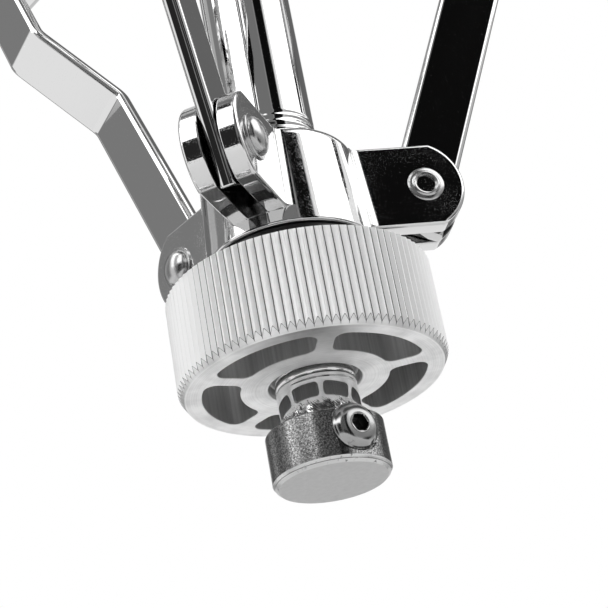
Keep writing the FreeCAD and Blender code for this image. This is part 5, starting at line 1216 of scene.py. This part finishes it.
height = add(tree, "ShaderNodeMath", {0: way.outputs["Z"]}, operation="ARCSINE")
shade = WHITE
for name, (west, east, low, high, soft, code) in PANELS.items():
    cover = None
    # A border's cover goes from its first to its second value as the angle passes it
    for angle, border, ends in ((compass, west, (0.0, 1.0)), (compass, east, (1.0, 0.0)),
                                (height, low, (0.0, 1.0)), (height, high, (1.0, 0.0))):
        edge = add(tree, "ShaderNodeMapRange", {"Value": angle.outputs[0], "From Min": math.radians(border - soft),
                                                "From Max": math.radians(border + soft),
                                                "To Min": ends[0], "To Max": ends[1]},
                   interpolation_type="SMOOTHSTEP", label=name).outputs["Result"]
        if cover is None:
            cover = edge
        else:
            cover = add(tree, "ShaderNodeMath", {0: cover, 1: edge}, operation="MULTIPLY").outputs[0]
    shade = add(tree, "ShaderNodeMix", {"Factor": cover, FIRST: shade, SECOND: linear(code)}, data_type="RGBA",
                label=name).outputs[MIXED]
seen = add(tree, "ShaderNodeLightPath")
studio = add(tree, "ShaderNodeBackground", {"Color": shade, "Strength": 1.0})
white = add(tree, "ShaderNodeBackground", {"Color": WHITE, "Strength": 1.0})
# Glass would show the plain white too. Metal shows the same white with the panels standing in it
plain = add(tree, "ShaderNodeMath", {0: seen.outputs["Is Camera Ray"], 1: seen.outputs["Is Transmission Ray"]},
            operation="MAXIMUM")
both = add(tree, "ShaderNodeMixShader", {0: plain.outputs[0], 1: studio.outputs[0], 2: white.outputs[0]})
add(tree, "ShaderNodeOutputWorld", {"Surface": both.outputs[0]})
print("studio panels", len(PANELS))

# %% [markdown]
# Two soft lamps stand inside the white parts of the studio, so chrome shows them as white, and they give
# the bare aluminium its bright side. Area lamps are used because a soft box is a lit rectangle, and a
# point lamp would leave hard shadows.

# %% Lamps
# Name: compass direction, height (degrees), watts, width (metres)
LAMPS = {"left soft box": (-153, 46, 8.7, 1.45), "right soft box": (-26, 44, 4.2, 1.0)}
# Height of a lamp and its distance from what it aims at, in metres
LAMP_TALL, LAMP_AWAY = 1.1, 1.2
# They aim at the middle of what the photograph shows, this many millimetres above the post's foot
AIM_HIGH = 40
aim = POST + Vector((0, 0, AIM_HIGH * MM))
for name, (direction, up, watts, wide) in LAMPS.items():
    lamp = bpy.data.lights.new(name, "AREA")
    lamp.shape = "RECTANGLE"
    lamp.energy, lamp.size, lamp.size_y = watts, wide, LAMP_TALL
    box = bpy.data.objects.new(name, lamp)
    bpy.context.scene.collection.objects.link(box)
    bearing = math.radians(direction)
    away = Vector((math.cos(bearing), math.sin(bearing), math.tan(math.radians(up)))).normalized()
    box.location = aim + away * LAMP_AWAY
    box.rotation_mode = "QUATERNION"
    box.rotation_quaternion = away.to_track_quat("Z", "Y")
print("lamps", len(LAMPS))

# %% [markdown]
# The floor is a disc of white paper that keeps the stand's shadow near its feet and runs out into the white
# background. A large floor would show its far edge, so towards its rim it glows as white as the background
# for every ray that looks at it. From below it is clear, so that a low camera still sees the legs.

# %% Floor
# In metres
FLOOR_RADIUS, FLOOR_LOW = 0.95, -0.0004
FADE_FROM, FADE_TO = 0.42, FLOOR_RADIUS * 0.97
paper, tree, inputs, where = start("white paper", "#F4F4F4", 0.0, 0.9)
out = add(tree, "ShaderNodeVectorMath", {0: where}, operation="LENGTH")
fade = add(tree, "ShaderNodeMapRange", {"Value": out.outputs["Value"], "From Min": FADE_FROM, "From Max": FADE_TO},
           interpolation_type="SMOOTHSTEP")
seen = add(tree, "ShaderNodeLightPath")
direct = add(tree, "ShaderNodeMath", {0: seen.outputs["Is Camera Ray"], 1: seen.outputs["Is Glossy Ray"]},
             operation="MAXIMUM")
direct = add(tree, "ShaderNodeMath", {0: direct.outputs[0], 1: seen.outputs["Is Transmission Ray"]},
             operation="MAXIMUM")
cover = add(tree, "ShaderNodeMath", {0: fade.outputs["Result"], 1: direct.outputs[0]}, operation="MULTIPLY")
glow = add(tree, "ShaderNodeEmission", {"Color": WHITE, "Strength": 1.0})
matt = tree.nodes["Principled BSDF"].outputs[0]
both = add(tree, "ShaderNodeMixShader", {0: cover.outputs[0], 1: matt, 2: glow.outputs[0]})
under = add(tree, "ShaderNodeNewGeometry").outputs["Backfacing"]
clear = add(tree, "ShaderNodeBsdfTransparent")
sheet_side = add(tree, "ShaderNodeMixShader", {0: under, 1: both.outputs[0], 2: clear.outputs[0]})
tree.links.new(sheet_side.outputs[0], tree.nodes["Material Output"].inputs["Surface"])
bm = bmesh.new()
bmesh.ops.create_circle(bm, cap_ends=True, radius=FLOOR_RADIUS, segments=160)
sheet = bpy.data.meshes.new("floor")
bm.to_mesh(sheet)
bm.free()
sheet.materials.append(paper)
floor = bpy.data.objects.new("floor", sheet)
floor.location.z = FLOOR_LOW
bpy.context.scene.collection.objects.link(floor)
bpy.context.scene.view_settings.view_transform = "Standard"
print("floor", FLOOR_RADIUS * 2, "m across")
